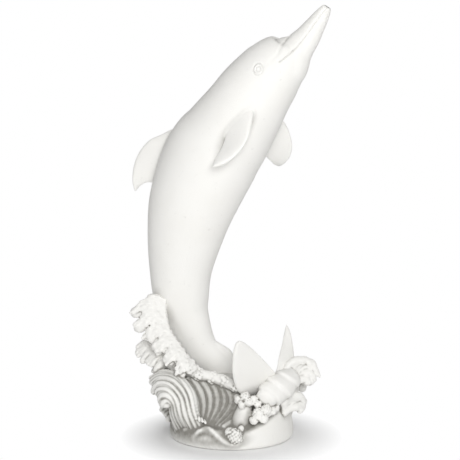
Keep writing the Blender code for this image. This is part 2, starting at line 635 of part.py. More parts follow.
def eye_ball(name, middle, facing, along, upward):
    tilt = np.linspace(0, math.pi, 7)[1:-1, None]
    around = np.linspace(0, 2 * math.pi, 10, endpoint=False)
    spread = EYE_BALL_RADIUS * np.sin(tilt)
    rise = EYE_BALL_RADIUS * 0.6 * np.cos(tilt) * np.ones_like(around)
    flat = np.stack([spread * np.cos(around), 1.15 * spread * np.sin(around), rise], axis=-1)
    return skin(name, middle + flat @ np.stack([along, upward, facing]))


def mouth_line(side):
    """A thin cutter along the line of the mouth, on one side of the beak."""
    rows = smooth_through(BEAK[2:-1], 14)
    path = np.column_stack([rows[:, 0], side * rows[:, 3], rows[:, 1]])
    return skin(f"mouth_{side}", sweep(turned(path, DOLPHIN_TURN), np.full(14, MOUTH_GROOVE), 6))


def dolphin():
    trunk = trunk_skin("trunk", TRUNK, BODY_RINGS, BODY_SIDES)
    pieces = [
        trunk_skin("beak", BEAK, 18, 20),
        blade("right_flipper", RIGHT_FLIPPER, DOLPHIN_TURN, FLIPPER_THICKNESS),
        blade("left_flipper", LEFT_FLIPPER, DOLPHIN_TURN, FLIPPER_THICKNESS),
        blade("dorsal_fin", DORSAL_FIN, DOLPHIN_TURN, DORSAL_THICKNESS),
        blade("tail_keel", TAIL_KEEL, DOLPHIN_TURN, TAIL_KEEL_THICKNESS, 7, 10),
        blade("right_fluke", RIGHT_FLUKE, FLUKE_TURN, FLUKE_THICKNESS),
        blade("left_fluke", LEFT_FLUKE, FLUKE_TURN, FLUKE_THICKNESS),
    ]
    for side in (1, -1):
        pieces += eye(side)
    for piece in pieces:
        cut(trunk, piece, "UNION")
    for side in (1, -1):
        cut(trunk, mouth_line(side))
    return trunk


def tube_path():
    """The water's way: down the middle of beak, head and tail, and out of the rear of the base."""
    centres = [*BEAK[:2:-1, :2], *TRUNK[14:3:-1, :2]]
    inside = turned([(p, 0, z) for p, z in centres], DOLPHIN_TURN)
    rear = FOOT_HALF_DEPTH
    across, height = TUBE_EXIT
    way_out = np.array([(across, rear - 4 * MM, height), (across, rear + TUBE_STUB, height)])
    return smooth_through(np.vstack([inside, np.array(TUBE_BEND) * MM, way_out]), TUBE_RINGS)


def water_tube(path):
    """The tube: its outside, down to the stub, then its bore back up to the beak."""
    outside = sweep(path, np.full(len(path), TUBE_OUTER / 2), TUBE_SIDES)
    inside = sweep(path, np.full(len(path), TUBE_BORE / 2), TUBE_SIDES)
    return closed_ring("water_tube", np.concatenate([outside, inside[::-1]]))


def tube_bed(path):
    """The space that the casting keeps for the tube, open at both ends."""
    first, last = path[0] - path[1], path[-1] - path[-2]
    longer = np.vstack([path[0] + 3 * unit(first) * 4 * MM, path, path[-1] + 3 * unit(last) * 4 * MM])
    return hidden(skin("tube_bed", sweep(longer, np.full(len(longer), TUBE_OUTER / 2 + TUBE_CLEARANCE), TUBE_SIDES)))


def finish(obj, colour, roughness):
    material = bpy.data.materials.new(obj.name)
    material.use_nodes = True
    surface = material.node_tree.nodes["Principled BSDF"]
    surface.inputs["Base Color"].default_value = (*colour, 1)
    surface.inputs["Roughness"].default_value = roughness
    surface.inputs["Metallic"].default_value = 0
    obj.data.materials.clear()
    obj.data.materials.append(material)
    obj.data.shade_smooth()
    obj.data.set_sharp_from_angle(angle=math.radians(40))


def main():
    for obj in list(bpy.data.objects):
        bpy.data.objects.remove(obj)
    path = tube_path()
    casting = without_bubbles(cut(dolphin(), waves(), "UNION"))
    casting.name = "dolphin_on_waves"
    cut(casting, tube_bed(path))
    finish(casting, (0.86, 0.85, 0.81), 0.6)
    finish(water_tube(path), (0.02, 0.02, 0.022), 0.45)


main()
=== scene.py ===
import math

import bmesh
import bpy
import numpy as np
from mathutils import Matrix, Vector


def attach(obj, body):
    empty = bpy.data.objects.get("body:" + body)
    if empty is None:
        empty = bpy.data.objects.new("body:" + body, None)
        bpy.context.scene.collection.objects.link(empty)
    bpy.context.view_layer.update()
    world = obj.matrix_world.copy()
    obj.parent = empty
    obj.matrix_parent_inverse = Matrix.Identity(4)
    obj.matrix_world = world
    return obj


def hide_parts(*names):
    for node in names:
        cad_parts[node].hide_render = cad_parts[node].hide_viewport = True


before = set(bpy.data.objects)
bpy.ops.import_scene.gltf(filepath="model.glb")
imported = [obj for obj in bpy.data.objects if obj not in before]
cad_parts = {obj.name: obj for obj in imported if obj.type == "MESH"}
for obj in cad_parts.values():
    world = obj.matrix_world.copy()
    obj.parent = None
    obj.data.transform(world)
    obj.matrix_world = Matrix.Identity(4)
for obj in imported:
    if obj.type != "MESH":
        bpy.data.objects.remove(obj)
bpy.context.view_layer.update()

bl_info = {
    "name": "Dolphin spitter looks",
    "version": (1, 0, 0),
    "blender": (4, 5, 0),
    "location": "3D View > Sidebar > Statue",
    # The antique stone finish includes painted shade in the hollows and painted highlight on the ridges
    "description": "Carved surface and antique stone finish of a garden dolphin leaping from waves",
    "category": "Object",
}

MM = 0.001
FULL_TURN = 2 * math.pi

# Dolphin, millimetres: its plane of symmetry is upright and turned towards the viewer. The eye's
# place is (forward, height), and its groove is (distance beyond the ring, half width)
DOLPHIN_TURN = math.radians(20)
FLUKE_TURN = math.radians(30)
FLIPPER_THICKNESS = 8
DORSAL_THICKNESS = 12
FLUKE_THICKNESS = 8
TAIL_KEEL_THICKNESS = 12
EDGE_BLUNTNESS = 0.7
FIN_FULLNESS = 0.85
LEADING_FULLNESS = 0.2
EYE_PLACE = (48, 477)
EYE_HALF_HEIGHT_SHARE = 1.15
EYE_RING_WIDTH = 1.0
EYE_GROOVE = (2.2, 1.1)
EYE_BALL_SHARE = 0.68
EYE_SIDE = 15
HEAD_FLOOR = 457
BROW_FOLD_FADE = 35
FLANK_START = 2.5

# Fillets of the fins: depth of a full crease, height where they end and its fade, rounds of relaxing
CREASE_DEPTH = 0.35
FILLET_TOP = 478
FILLET_FADE = 12
FILLET_ROUNDS = 70

# Trunk from tail stock to brow: forward of the statue's axis, height, half depth, half width
TRUNK = [
    (50, 80, 6, 7), (36, 73, 10, 9), (11.5, 79, 15, 11), (-17, 93, 19.5, 13.5), (-42, 113, 22.5, 17.5),
    (-60, 146, 29.5, 24), (-68.7, 174, 36, 30.5), (-70, 214, 41, 36.5), (-63.8, 260, 49.5, 44),
    (-51.9, 307, 57, 51), (-27.6, 361, 61, 55), (-6.7, 390, 57, 53), (14.3, 420, 51.5, 49),
    (30.2, 444, 47.5, 45.5), (49.2, 468, 42.5, 40), (58.4, 478.5, 39, 36), (69.3, 491, 33.7, 29.5),
    (77.3, 501.5, 26, 22), (79.8, 508, 17, 14), (82, 514.5, 0, 0),
]

# Beak from inside the head to its blunt end, in the same terms
BEAK = [
    (50, 457, 22, 20), (61.8, 467, 27, 26), (71.9, 478, 26.5, 26), (78, 487.5, 24.8, 23.5),
    (84.3, 497, 21.4, 20), (90.7, 505, 18.7, 17.3), (99.5, 515.5, 15.9, 14.7), (108.6, 528.7, 12.7, 12),
    (115.5, 539, 10.2, 9.8), (119.5, 545, 8.3, 8.3), (122.2, 549.2, 6.9, 6.9), (124, 552, 5.2, 5.2),
]

# Line of the mouth in the dolphin's plane, from the tip to its corner on the cheek
MOUTH = [(125, 552), (119.5, 545), (108.6, 528.7), (99.5, 515.5), (90.7, 504), (82, 494), (73, 486)]

# Fold between the brow and the beak, from the notch above down to the eye
BROW_FOLD = [(79, 520), (74, 511), (70.5, 497), (63, 487), (54, 475)]

# Leading and trailing edges of the fins: forward, towards the viewer, height
RIGHT_FLIPPER = (
    [(38, 14, 435), (43, 38, 429), (44.7, 50, 413), (43, 60, 394.5),
     (35.6, 68, 379), (19.7, 74, 364.5), (3, 78, 358.7)],
    [(16, 14, 430), (21, 38, 427), (15.2, 44, 414), (11.5, 50, 398.6),
     (9.2, 58, 383.3), (4.5, 68, 369.4), (2.5, 78, 358.2)],
)
LEFT_FLIPPER = (
    [(38, -14, 424), (42, -36, 422), (51, -48, 409), (56.8, -58, 394.2),
     (58.6, -68, 372.7), (52.2, -74, 356.3), (37, -80, 345)],
    [(6, -14, 392), (8, -36, 388), (17, -46, 370), (24.5, -56, 360.8),
     (29.8, -66, 352), (32.5, -74, 347), (36.4, -80, 344.6)],
)
DORSAL_FIN = (
    [(-62, 0, 394), (-80, 0, 396), (-95, 0, 389), (-112, 0, 381),
     (-125, 0, 367), (-133, 0, 350), (-136, 0, 330), (-133.5, 0, 313)],
    [(-70, 0, 318), (-92, 0, 322), (-104, 0, 325), (-114, 0, 326),
     (-121, 0, 324), (-126.5, 0, 320), (-130.5, 0, 316), (-133, 0, 312.6)],
)
TAIL_KEEL = (
    [(-26, 0, 126), (-13, 0, 119.5), (-2, 0, 113.5), (3, 0, 105), (6, 0, 96)],
    [(-36, 0, 112), (-26, 0, 106), (-14, 0, 98), (-6, 0, 92), (0, 0, 86)],
)
RIGHT_FLUKE = (
    [(46, 4, 70), (38, 16, 64), (32, 36, 69), (33.2, 54, 92.7),
     (38.2, 64, 118.5), (43.5, 68, 137), (49.6, 68.3, 144.8)],
    [(66, 2, 90), (69, 10, 95.3), (65.5, 20, 106), (61.3, 31, 117.5),
     (56.5, 44, 130), (53, 57, 140), (50.2, 68, 145.2)],
)
LEFT_FLUKE = (
    [(50, 2, 66), (64, -8, 71), (77, -16, 82), (77, -27, 97),
     (69.6, -38, 114.9), (61.5, -46, 134), (54.2, -49, 144.5)],
    [(64, 4, 88), (66.5, 0, 97), (64, -8, 107), (61.1, -18, 114.5),
     (57.5, -31, 124.5), (54.6, -41, 134), (53.4, -48.7, 144.2)],
)

# Body of water: half width and half depth of foot and core, the height of the foot's upper edge by
# degrees round the statue (0 right, 270 front), how far below and over what height it steps in, the
# core's taper, and how far the wall leans in
FOOT = (80, 72)
FOOT_EDGE_ROUND = 5
FOOT_EDGE_INSET = 4
CORE = (47, 33)
CORE_TOP = 88
CORE_TOP_ROUND = 20
APRON = [
    (0, 50), (30, 50), (60, 42), (90, 38), (120, 40), (150, 46), (180, 46), (200, 38),
    (218, 32), (246, 30), (270, 28), (286, 27), (298, 31), (315, 38), (333, 45),
]
APRON_LEAD = 5
APRON_FADE = 13
CORE_TAPER = 0.3
CORE_TAPER_FROM = 60
CORE_TAPER_SPAN = 40
WATER_VOXEL = 2 * MM
WATER_ROUNDS = 6
WALL_LEAN = [(0, 0), (12, 0), (24, 1.5), (36, 4.5), (48, 8), (60, 11), (80, 16), (100, 24)]

# Fingers of water, (x, y, z) from root to tip: each group's first, between and last guides
BACK_CREST = [
    [(-82, 2, 176), (-102, 4, 182), (-124, 4, 172)], [(-82, -4, 163), (-106, -4, 167), (-129, -3, 154)],
    [(-80, -10, 151), (-102, -11, 153), (-121, -8, 140)],
    [(-76, -16, 140), (-94, -17, 141), (-110, -14, 128)], [(-68, -21, 129), (-85, -24, 129), (-99, -22, 116)],
    [(-60, -26, 118), (-74, -31, 118), (-86, -30, 105)], [(-51, -30, 107), (-63, -37, 107), (-75, -38, 94)],
    [(-42, -33, 98), (-53, -42, 97), (-60, -44, 84)],
]
LEFT_CURL = [
    [(-78, 18, 100), (-106, 12, 120), (-124, 10, 112)], [(-78, 8, 98), (-105, 4, 114), (-120, 1, 102)],
    [(-76, -4, 93), (-96, -8, 108), (-110, -11, 97)], [(-72, -12, 90), (-86, -17, 102), (-97, -20, 91)],
]
MAIN_CREST = [
    [(-30, -40, 2), (-37, -50, 22), (-46, -57, 46), (-52, -51, 70),
     (-67, -39, 86), (-86, -27, 89), (-101, -17, 82)],
    [(-36, -37, 1), (-43, -48, 20), (-53, -58, 44), (-60, -54, 67),
     (-74, -46, 82), (-90, -36, 83), (-101, -28, 74)],
    [(-43, -33, 0), (-51, -42, 18), (-61, -56, 42), (-67, -58, 63),
     (-79, -54, 76), (-91, -46, 75), (-97, -40, 66)],
    [(-49, -27, 0), (-57, -35, 17), (-67, -50, 40), (-71, -57, 58),
     (-79, -59, 68), (-86, -55, 67), (-90, -50, 59)],
    [(-54, -21, 0), (-65, -29, 14), (-72, -42, 36), (-74, -51, 52),
     (-78, -56, 59), (-82, -57, 57), (-84, -54, 51)],
]
SHELL_CURL = [
    [(-68, 16, 44), (-84, 13, 51), (-94, 11, 46)], [(-68, 8, 36), (-84, 5, 43), (-94, 3, 37)],
    [(-68, 2, 29), (-82, -1, 35), (-89, -4, 29)], [(-68, -4, 23), (-78, -8, 28), (-83, -11, 22)],
]
FAN = [
    [(-44, -52, 26), (-45, -48, 50), (-50, -43, 68), (-60, -38, 84)],
    [(-38, -53, 25), (-35, -42, 50), (-39, -37, 69), (-51, -33, 86)],
    [(-33, -54, 25), (-25, -40, 50), (-27, -34, 69), (-40, -30, 86)],
    [(-29, -55, 24), (-15, -40, 48), (-15, -33, 67), (-27, -29, 84)],
    [(-24, -57, 24), (-6, -42, 46), (-3, -35, 63), (-13, -31, 80)],
    [(-19, -59, 25), (0, -47, 41), (7, -41, 53), (4, -37, 68)],
    [(-13, -61, 26), (3, -54, 35), (11, -49, 42), (14, -45, 53)],
]
FAN_BACKING = np.array(FAN, float) + (0, 7, 0)
FOAM_LIP = [
    [(-50, -54, 40), (-52, -59, 43), (-53, -62, 39)], [(-45, -54, 40), (-46, -60, 43), (-46, -63, 38)],
    [(-40, -55, 38), (-40, -60, 41), (-39, -64, 36)], [(-35, -56, 35), (-34, -61, 37), (-32, -65, 33)],
]
STEM = [
    [(-64, -26, 0), (-69, -30, 20), (-72, -38, 42), (-68, -40, 64)],
    [(-68, -15, 0), (-72, -16, 20), (-70, -17, 42), (-54, -20, 66)],
    [(-69, 0, 0), (-72, 0, 20), (-67, 0, 42), (-46, 0, 66)],
    [(-64, 18, 0), (-68, 18, 20), (-63, 17, 42), (-44, 12, 64)],
]
ROLL_HEAD = [
    [(68, -32, 84), (72, -26, 99), (84, -20, 105), (94, -18, 101)],
    [(76, -24, 84), (82, -20, 100), (95, -16, 104), (104, -15, 96)],
    [(80, -22, 82), (88, -16, 96), (102, -14, 98), (110, -14, 88)],
    [(80, -24, 78), (89, -19, 88), (101, -17, 89), (107, -17, 79)],
    [(77, -28, 75), (86, -24, 80), (95, -22, 80), (99, -22, 71)],
]
LOW_CURL = [
    [(62, -36, 50), (74, -29, 60), (86, -22, 58), (93, -18, 50)],
    [(64, -33, 44), (77, -25, 52), (88, -17, 51), (94, -13, 43)],
    [(64, -34, 38), (76, -28, 44), (85, -23, 44), (90, -20, 36)],
]

# Fingers: rings along each, radians from one to the next in the sines of reach, knuckles and
# thickness, swing and limits of the reach, where they are full, and how much a gap thins them
FINGER_RINGS = 40
REACH_STEP = 2.4
KNUCKLE_STEP = 1.9
THICKNESS_STEP = 3.1
REACH_SWING = 0.4
REACH_LIMITS = (0.3, 1.15)
FULL_FROM = 0.8
GAP_THINNING = 0.3

# Rear: degrees by which front forms are turned, and shares by which they are carried across
REAR_TURN = 35
SIDE_TURN = 168
REAR_SHARE = 0.95
REAR_BACK_SHARE = 0.75
REAR_BACK_DROP = 6

# Rolls that lie on the body of water: degrees, height, lift off it, radius
FRONT_RIM = [
    (228, 10, 0, 1), (232, 18, 0.8, 1.8), (237, 25, 1.4, 2.4), (243, 28, 1.5, 2.6), (250, 26, 1.5, 2.6),
    (257, 19, 1.5, 2.4), (265, 12, 1.5, 2.4), (273, 10, 1.6, 2.4), (279, 15, 1.6, 2.4), (283, 24, 0, 1.6),
]
FRONT_BAND = [
    (216, 20, 0, 2), (223, 27, 1, 3.5), (232, 32, 1, 4.5),
    (242, 33, 0, 4.5), (252, 32, -1, 4), (262, 29, -2, 2),
]
FRONT_SWELL = [(232, 8, -1.5, 1), (238, 14, -1, 2.5), (246, 15, -1, 2.5), (254, 10, -1.5, 1)]
RIGHT_RIDGE = [
    (283, 25, -1, 2), (292, 30, 1, 4), (302, 35, 1.5, 5.5),
    (313, 41, 2, 6), (325, 46, 2.5, 6), (336, 47, 1, 4),
]

# Rolls in the open: (x, y, z, radius); foam stands out of the one under the tail by this share
TAIL_FOAM_SWELL = 1.3
CENTRE_STEM = [(4, -50, 18, 11), (9, -53, 30, 12), (14, -53, 44, 10.5), (19, -52, 58, 8)]
TAIL_FOAM = [(-58, -38, 97, 5), (-42, -37, 91, 6.5), (-25, -36, 87, 6.5), (-9, -38, 82, 7), (5, -41, 75, 5.5)]
RIGHT_ROLL = [
    (38, -60, 63, 5), (41, -56, 65, 11), (47, -51, 68, 15), (55, -45, 72, 17), (64, -38, 77, 17),
    (73, -31, 83, 14.5), (82, -25, 89, 10),
]
FOAM_BED = [(26, -58, 38, 5), (36, -58, 44, 8), (46, -54, 48, 8), (56, -48, 50, 6)]

# Grains of foam: their size, how unevenly they lie and swell, and how deep the core lies under them
GRAIN_COVER = 1.5
GRAIN_LIFT = 0.07
GRAIN_UNEVEN = 0.25
CORE_SINK = 0.8

# Lumps of foam: (x, y, z, radius)
FRONT_BALL = [(4, -71, 20, 10.5), (12, -68, 29, 4), (-3, -70, 25, 6)]
CENTRE_FOAM = [
    (9, -54, 62, 6), (17, -54, 66, 7), (27, -56, 62, 6.5),
    (13, -58, 57, 5.5), (22, -59, 60, 6), (33, -57, 57, 5),
]
RIGHT_FOAM = [
    (34, -63, 46, 8.5), (43, -60, 50, 8), (51, -56, 48, 6),
    (40, -65, 41, 6.5), (28, -64, 38, 6), (56, -51, 50, 5),
]
REAR_FOAM = [(16, 62, 40, 8), (27, 58, 44, 7), (5, 64, 38, 6), (36, 52, 47, 6), (22, 66, 33, 6)]

# How far the wash and painted shade look for other forms, near and far, and their strength on each piece of
# stone: in creases, where forms stand near and far ahead, which paints shade into hollows and between forms,
# and all over
WASH_AND_SHADE_REACH = (5, 14)
STONE_PIECES = {
    "dolphin": (1.5, 0.9, 0.5, 0.05),
    "waves": (5, 0.6, 0.7, 1.05),
    "rear_waves": (5, 0.6, 0.7, 0.95),
}

# Height at which the wash and painted shade all over end and over how many millimetres they fade, and the
# same across:
# they make the stone darker low down and to the left, partly as wash and partly as painted shade
WASH_AND_SHADE_TOP = (128, 66)
WASH_AND_SHADE_SIDE = (-10, 60)
WASH_AND_SHADE_SIDE_LOSS = 0.85

# Water tube, millimetres
TUBE_OUTER = 6
TUBE_BORE = 4
TUBE_STUB = 16
TUBE_EXIT = (-6, 22)
TUBE_RINGS = 260
TUBE_SIDES = 24
TUBE_ASIDE = (0.31, -0.93, 0.2)
TUBE_BEND = [(-22, 8, 98), (-10, 8, 80), (-9, 18, 56), (-8, 40, 32)]

# Depths of the finest relief, metres
PIT_DEPTH = 0.25 * MM
BLOOM_DEPTH = 0.05 * MM

# Floor: rings in millimetres, radius in metres that stays in full, and its fade as a share of that
FLOOR_RINGS = (30000.0, 1500, 600, 300, 0)
FLOOR_SIDES = 96
FLOOR_CLEAR = 0.09
FLOOR_FADE = 0.6

# Light: strength from all round, and lamps as name, place, width and watts
SKY_STRENGTH = 0.42
LAMP_AIM = (0, 0, 0.25)
LAMPS = (
    ("key", (0.25, -2.1, 0.95), 0.9, 28.5),
    ("fill", (-1.5, -1.5, 0.6), 1.6, 3.5),
    ("rim", (1.4, 1.2, 1.4), 1.2, 3.0),
)

# The photograph's view: metres and degrees
VIEW_AIM = (-0.002, 0, 0.27)
VIEW_ELEVATION = math.radians(9)
VIEW_DISTANCE = 2.0
VIEW_LENS = 123.0


def unit(vectors):
    """Each vector over its own length."""
    return vectors / np.maximum(np.linalg.norm(vectors, axis=-1, keepdims=True), 1e-12)


def through(rows, count):
    """Catmull-Rom curve through the given rows: between two rows, the cubic whose slope at each is
    half the step from the row before to the row after. The rows may be numbers or whole arrays."""
    rows = np.asarray(rows, float)
    padded = np.concatenate([[2 * rows[0] - rows[1]], rows, [2 * rows[-1] - rows[-2]]])
    place = np.linspace(0, len(rows) - 1, count)
    index = np.minimum(place.astype(int), len(rows) - 2)
    t = (place - index).reshape((-1,) + (1,) * (rows.ndim - 1))
    a, b, c, d = (padded[index + k] for k in range(4))
    return 0.5 * (2 * b + (c - a) * t + (2 * a - 5 * b + 4 * c - d) * t**2 + (3 * b - a - 3 * c + d) * t**3)


def circle(sides):
    """Angles evenly spaced round a circle."""
    return np.linspace(0, FULL_TURN, sides, endpoint=False)


def round_axis(reach, angle, height):
    """(reach cos a, reach sin a, height) for an angle a round an upright axis."""
    return np.stack([reach * np.cos(angle), reach * np.sin(angle), height + 0 * angle], axis=-1)


def smooth_step(values):
    """Rises from 0 to 1 as 3t squared less 2t cubed, and stays there."""
    t = np.clip(values, 0, 1)
    return t * t * (3 - 2 * t)


def turned(rows, turn):
    """(forward, towards the viewer, height) turned about the statue's axis to (x, y, z), or back."""
    forward, side, height = np.moveaxis(np.asarray(rows, float), -1, 0)
    x = forward * math.cos(turn) - side * math.sin(turn)
    y = -forward * math.sin(turn) - side * math.cos(turn)
    return np.stack([x, y, height], axis=-1)


def grid_shell(points):
    """Quads over a grid of points (strips, rings, sides, 3), closed round its sides. The end rings
    are left open, so a strip is a closed shell only where its end rings are drawn together to points."""
    strips, rings, sides, _ = points.shape
    number = np.arange(strips * rings * sides).reshape(strips, rings, sides)
    beside = np.roll(number, -1, axis=2)
    faces = np.stack([number[:, :-1], beside[:, :-1], beside[:, 1:], number[:, 1:]], axis=-1)
    return points.reshape(-1, 3), faces.reshape(-1, 4)


def capped(rings):
    """Rings (rings, sides, 3) as one closed shell, with a pole at the middle of each end."""
    first = np.broadcast_to(rings[0].mean(axis=0), rings[0].shape)
    last = np.broadcast_to(rings[-1].mean(axis=0), rings[-1].shape)
    return grid_shell(np.concatenate([first[None], rings, last[None]])[None])


def loft(stations, rings, sides):
    """Ovals across a centreline in the dolphin's plane. The half sizes are carried along as their
    squares, so that an end that closes is round."""
    rows = np.asarray(stations, float)
    rows = through(np.column_stack([rows[:, :2], rows[:, 2:] ** 2]), rings)
    half = np.sqrt(np.maximum(rows[:, 2:], 0))
    ahead = unit(np.gradient(rows[:, :2], axis=0))
    to_belly = np.column_stack([ahead[:, 1], -ahead[:, 0]])
    around = circle(sides)
    in_plane = rows[:, None, :2] + to_belly[:, None] * (half[:, :1] * np.cos(around))[..., None]
    side = half[:, 1:] * np.sin(around)
    return capped(turned(np.stack([in_plane[..., 0], side, in_plane[..., 1]], axis=-1), DOLPHIN_TURN))


def fin(edges, turn, thickness, rings=70, sides=64):
    """A blade between a leading and a trailing edge: each section is an oval flattened to the
    thickness, fuller ahead of its middle, with blunt edges. Its half depth is h / sqrt(1 + (2h/T)^2)
    for a half chord h and a thickness T, so that it closes with the chord at the tip."""
    lead, trail = (through(turned(edge, turn), rings) for edge in edges)
    middle, half_chord = (lead + trail) / 2, (lead - trail) / 2
    face = unit(np.cross(np.gradient(middle, axis=0), half_chord))
    around = circle(sides)
    reach = np.linalg.norm(half_chord, axis=1)
    depth = reach / np.hypot(1, reach / (thickness / 2))
    blunt = np.sign(np.sin(around)) * np.abs(np.sin(around)) ** EDGE_BLUNTNESS
    lift = depth[:, None] * blunt * (FIN_FULLNESS + LEADING_FULLNESS * np.cos(around))
    chord = half_chord[:, None] * np.cos(around)[:, None]
    return capped(middle[:, None] + chord + face[:, None] * lift[..., None])


def bars(paths, radius, sides=12):
    """Round bars along paths (bars, rings, 3): at each ring, radius times cos and sin along two
    directions square to the path."""
    ahead = unit(np.gradient(paths, axis=1))
    across = unit(np.cross(ahead, np.array([0.001, 0, 1.0])))
    over = np.cross(across, ahead)
    around = circle(sides)
    way = across[:, :, None] * np.cos(around)[:, None] + over[:, :, None] * np.sin(around)[:, None]
    return grid_shell(paths[:, :, None] + radius[..., None, None] * way)


def closing(t, start, end):
    """1 along a bar, down to 0 at its start as a square root and at its end as a quarter circle."""
    tail = np.sqrt(1 - np.clip((t - 1 + end) / end, 0, 1) ** 2)
    return tail * np.sqrt(np.clip(t / start, 0, 1))


def turned_about_axis(points, degrees):
    """Points turned about the statue's upright axis."""
    return turned(np.asarray(points, float) * (1, -1, 1), -math.radians(degrees))


def fingers(
    guides, count, radius, root=0.8, knuckles=2.0, knuckle=0.1, uneven=0.12, stretch=0.2, lobes=0.0,
    notch=0.4, seed=0.0,
):
    """Fingers of water side by side, which make a fluted sheet with a scalloped lip. Each follows the
    curve between the guides at its share of their number, is longer or shorter and thicker or thinner
    than the next by a sine of its number, and swells in knuckles by a sine along it. Between lobes,
    the fourth power of a cosine over the fingers shortens and thins them."""
    paths = through(np.asarray(guides, float), count)
    number = np.arange(count)
    gap = np.cos(math.pi * lobes * np.linspace(0, 1, count)) ** 4 if lobes else np.zeros(count)
    reach = 1 - notch * gap + REACH_SWING * stretch * np.sin(REACH_STEP * number + seed)
    paths = np.moveaxis(through(np.moveaxis(paths, 0, 1), FINGER_RINGS), 0, 1)
    t = np.linspace(0, 1, FINGER_RINGS)
    paths = paths_at(paths, t * np.clip(reach, *REACH_LIMITS)[:, None])
    filling = np.sin(math.pi / 2 * np.clip(t / FULL_FROM, 0, 1))
    profile = (root + (1 - root) * filling) * closing(t, 0.06, 0.14)
    swell = 1 + knuckle * np.sin(FULL_TURN * knuckles * t + KNUCKLE_STEP * number[:, None] + seed)
    size = (1 + uneven * np.sin(THICKNESS_STEP * number + 1.3 * seed)) * (1 - GAP_THINNING * gap)
    return bars(paths, radius * profile * swell * size[:, None])


def paths_at(paths, along):
    """Points at given shares of each path's length, and straight on past its end."""
    rings = paths.shape[1]
    place = along * (rings - 1)
    index = np.clip(place.astype(int), 0, rings - 2)
    here = np.take_along_axis(paths, index[..., None], axis=1)
    ahead = np.take_along_axis(paths, index[..., None] + 1, axis=1)
    return here + (ahead - here) * (place - index)[..., None]


def roll(rows, ribs=0, rib_depth=0.1, lean=0.0, rings=90, sides=36):
    """A roll of water along (x, y, z, radius). Its ribs are nested shells: each swells over its first
    third by a smooth step and sinks in a straight line to the next, times the depth. They lean with
    the sine of the way round the roll."""
    rows = through(rows, rings)
    t = np.linspace(0, 1, rings)
    points, faces = bars(rows[None, :, :3], (rows[:, 3] * closing(t, 0.05, 0.07))[None], sides)
    if not ribs:
        return points, faces
    around = circle(sides)
    way = ribs * t[:, None] + lean * np.sin(around)
    ring = smooth_step(3 * (way % 1)) - way % 1
    middle = np.repeat(rows[:, :3], sides, axis=0)
    return middle + (points - middle) * (1 + rib_depth * ring).reshape(-1, 1), faces


def balls(centres, radius, rings=9, sides=12):
    """Balls at the given centres: radius times (sin a cos b, sin a sin b, cos a)."""
    tilt = np.linspace(0, math.pi, rings)[:, None]
    way = round_axis(np.sin(tilt), circle(sides), np.cos(tilt))
    return grid_shell(centres[:, None, None] + radius[:, None, None, None] * way)


def foam(lumps, grains):
    """Lumps of foam: round each core, grains spaced evenly on a golden spiral, of uneven size, and
    as large as leaves no gap between them."""
    lumps = np.asarray(lumps, float)
    k = np.arange(grains) + 0.5
    tilt = np.arccos(1 - 2 * k / grains)
    way = round_axis(np.sin(tilt), math.pi * (1 + math.sqrt(5)) * k, np.cos(tilt))
    number = np.arange(len(lumps))[:, None]
    grain = GRAIN_COVER / math.sqrt(grains)
    reach = 1 - grain + GRAIN_LIFT * np.sin(2.3 * k + 1.7 * number)
    centres = lumps[:, None, :3] + lumps[:, 3, None, None] * way * reach[..., None]
    radius = lumps[:, 3, None] * grain * (1 + GRAIN_UNEVEN * np.cos(3.7 * k + 2.1 * number))
    cores = balls(lumps[:, :3], (1 - CORE_SINK * grain) * lumps[:, 3])
    return [cores, balls(centres.reshape(-1, 3), radius.reshape(-1))]


def water_radius(angle, height):
    """Distance of the body of water from the statue's axis: an oval foot that leans in as it rises,
    stepped in smoothly to a narrower oval core above the apron's edge."""
    foot = 1 / np.hypot(np.cos(angle) / FOOT[0], np.sin(angle) / FOOT[1])
    core = 1 / np.hypot(np.cos(angle) / CORE[0], np.sin(angle) / CORE[1])
    core = core - CORE_TAPER * np.clip(height - CORE_TAPER_FROM, 0, CORE_TAPER_SPAN)
    edge = np.clip(1 - height / FOOT_EDGE_ROUND, 0, 1)
    lean = through(WALL_LEAN, 200)
    outer = foot - FOOT_EDGE_INSET * (1 - np.sqrt(1 - edge**2)) - np.interp(height, lean[:, 0], lean[:, 1])
    degrees, top = np.array(APRON, float).T
    edge_height = np.interp(np.degrees(angle) % 360, degrees, top, period=360)
    inside = smooth_step((height - edge_height + APRON_LEAD) / APRON_FADE)
    return outer * (1 - inside) + core * inside


def on_water(rows):
    """(degrees, height, lift, radius) on the body of water to (x, y, z, radius)."""
    degrees, height, lift, radius = np.asarray(rows, float).T
    angle = np.radians(degrees)
    reach = water_radius(angle, height) + lift
    return np.column_stack([round_axis(reach, angle, height), radius])


def body_of_water(turns=240, levels=90):
    """Rings of the water's radius, one for each height, over a flat floor. The top is rounded: there
    the radius falls as a quarter of a circle of the height."""
    angle = circle(turns)
    height = np.linspace(0, CORE_TOP, levels)[:, None]
    near_top = np.clip(1 - (CORE_TOP - height) / CORE_TOP_ROUND, 0, 1)
    reach = water_radius(angle, height) * np.sqrt(1 - near_top**2)
    return capped(round_axis(reach, angle, height))


def across_the_dolphin(guides, share, drop=0.0):
    """Guides carried to the far side of the dolphin's plane, at a share of their distance from it."""
    to_viewer = turned([(0, 1, 0)], DOLPHIN_TURN)[0]
    guides = np.asarray(guides, float)
    return guides - (guides @ to_viewer * (1 + share))[..., None] * to_viewer - np.array([0, 0, drop])


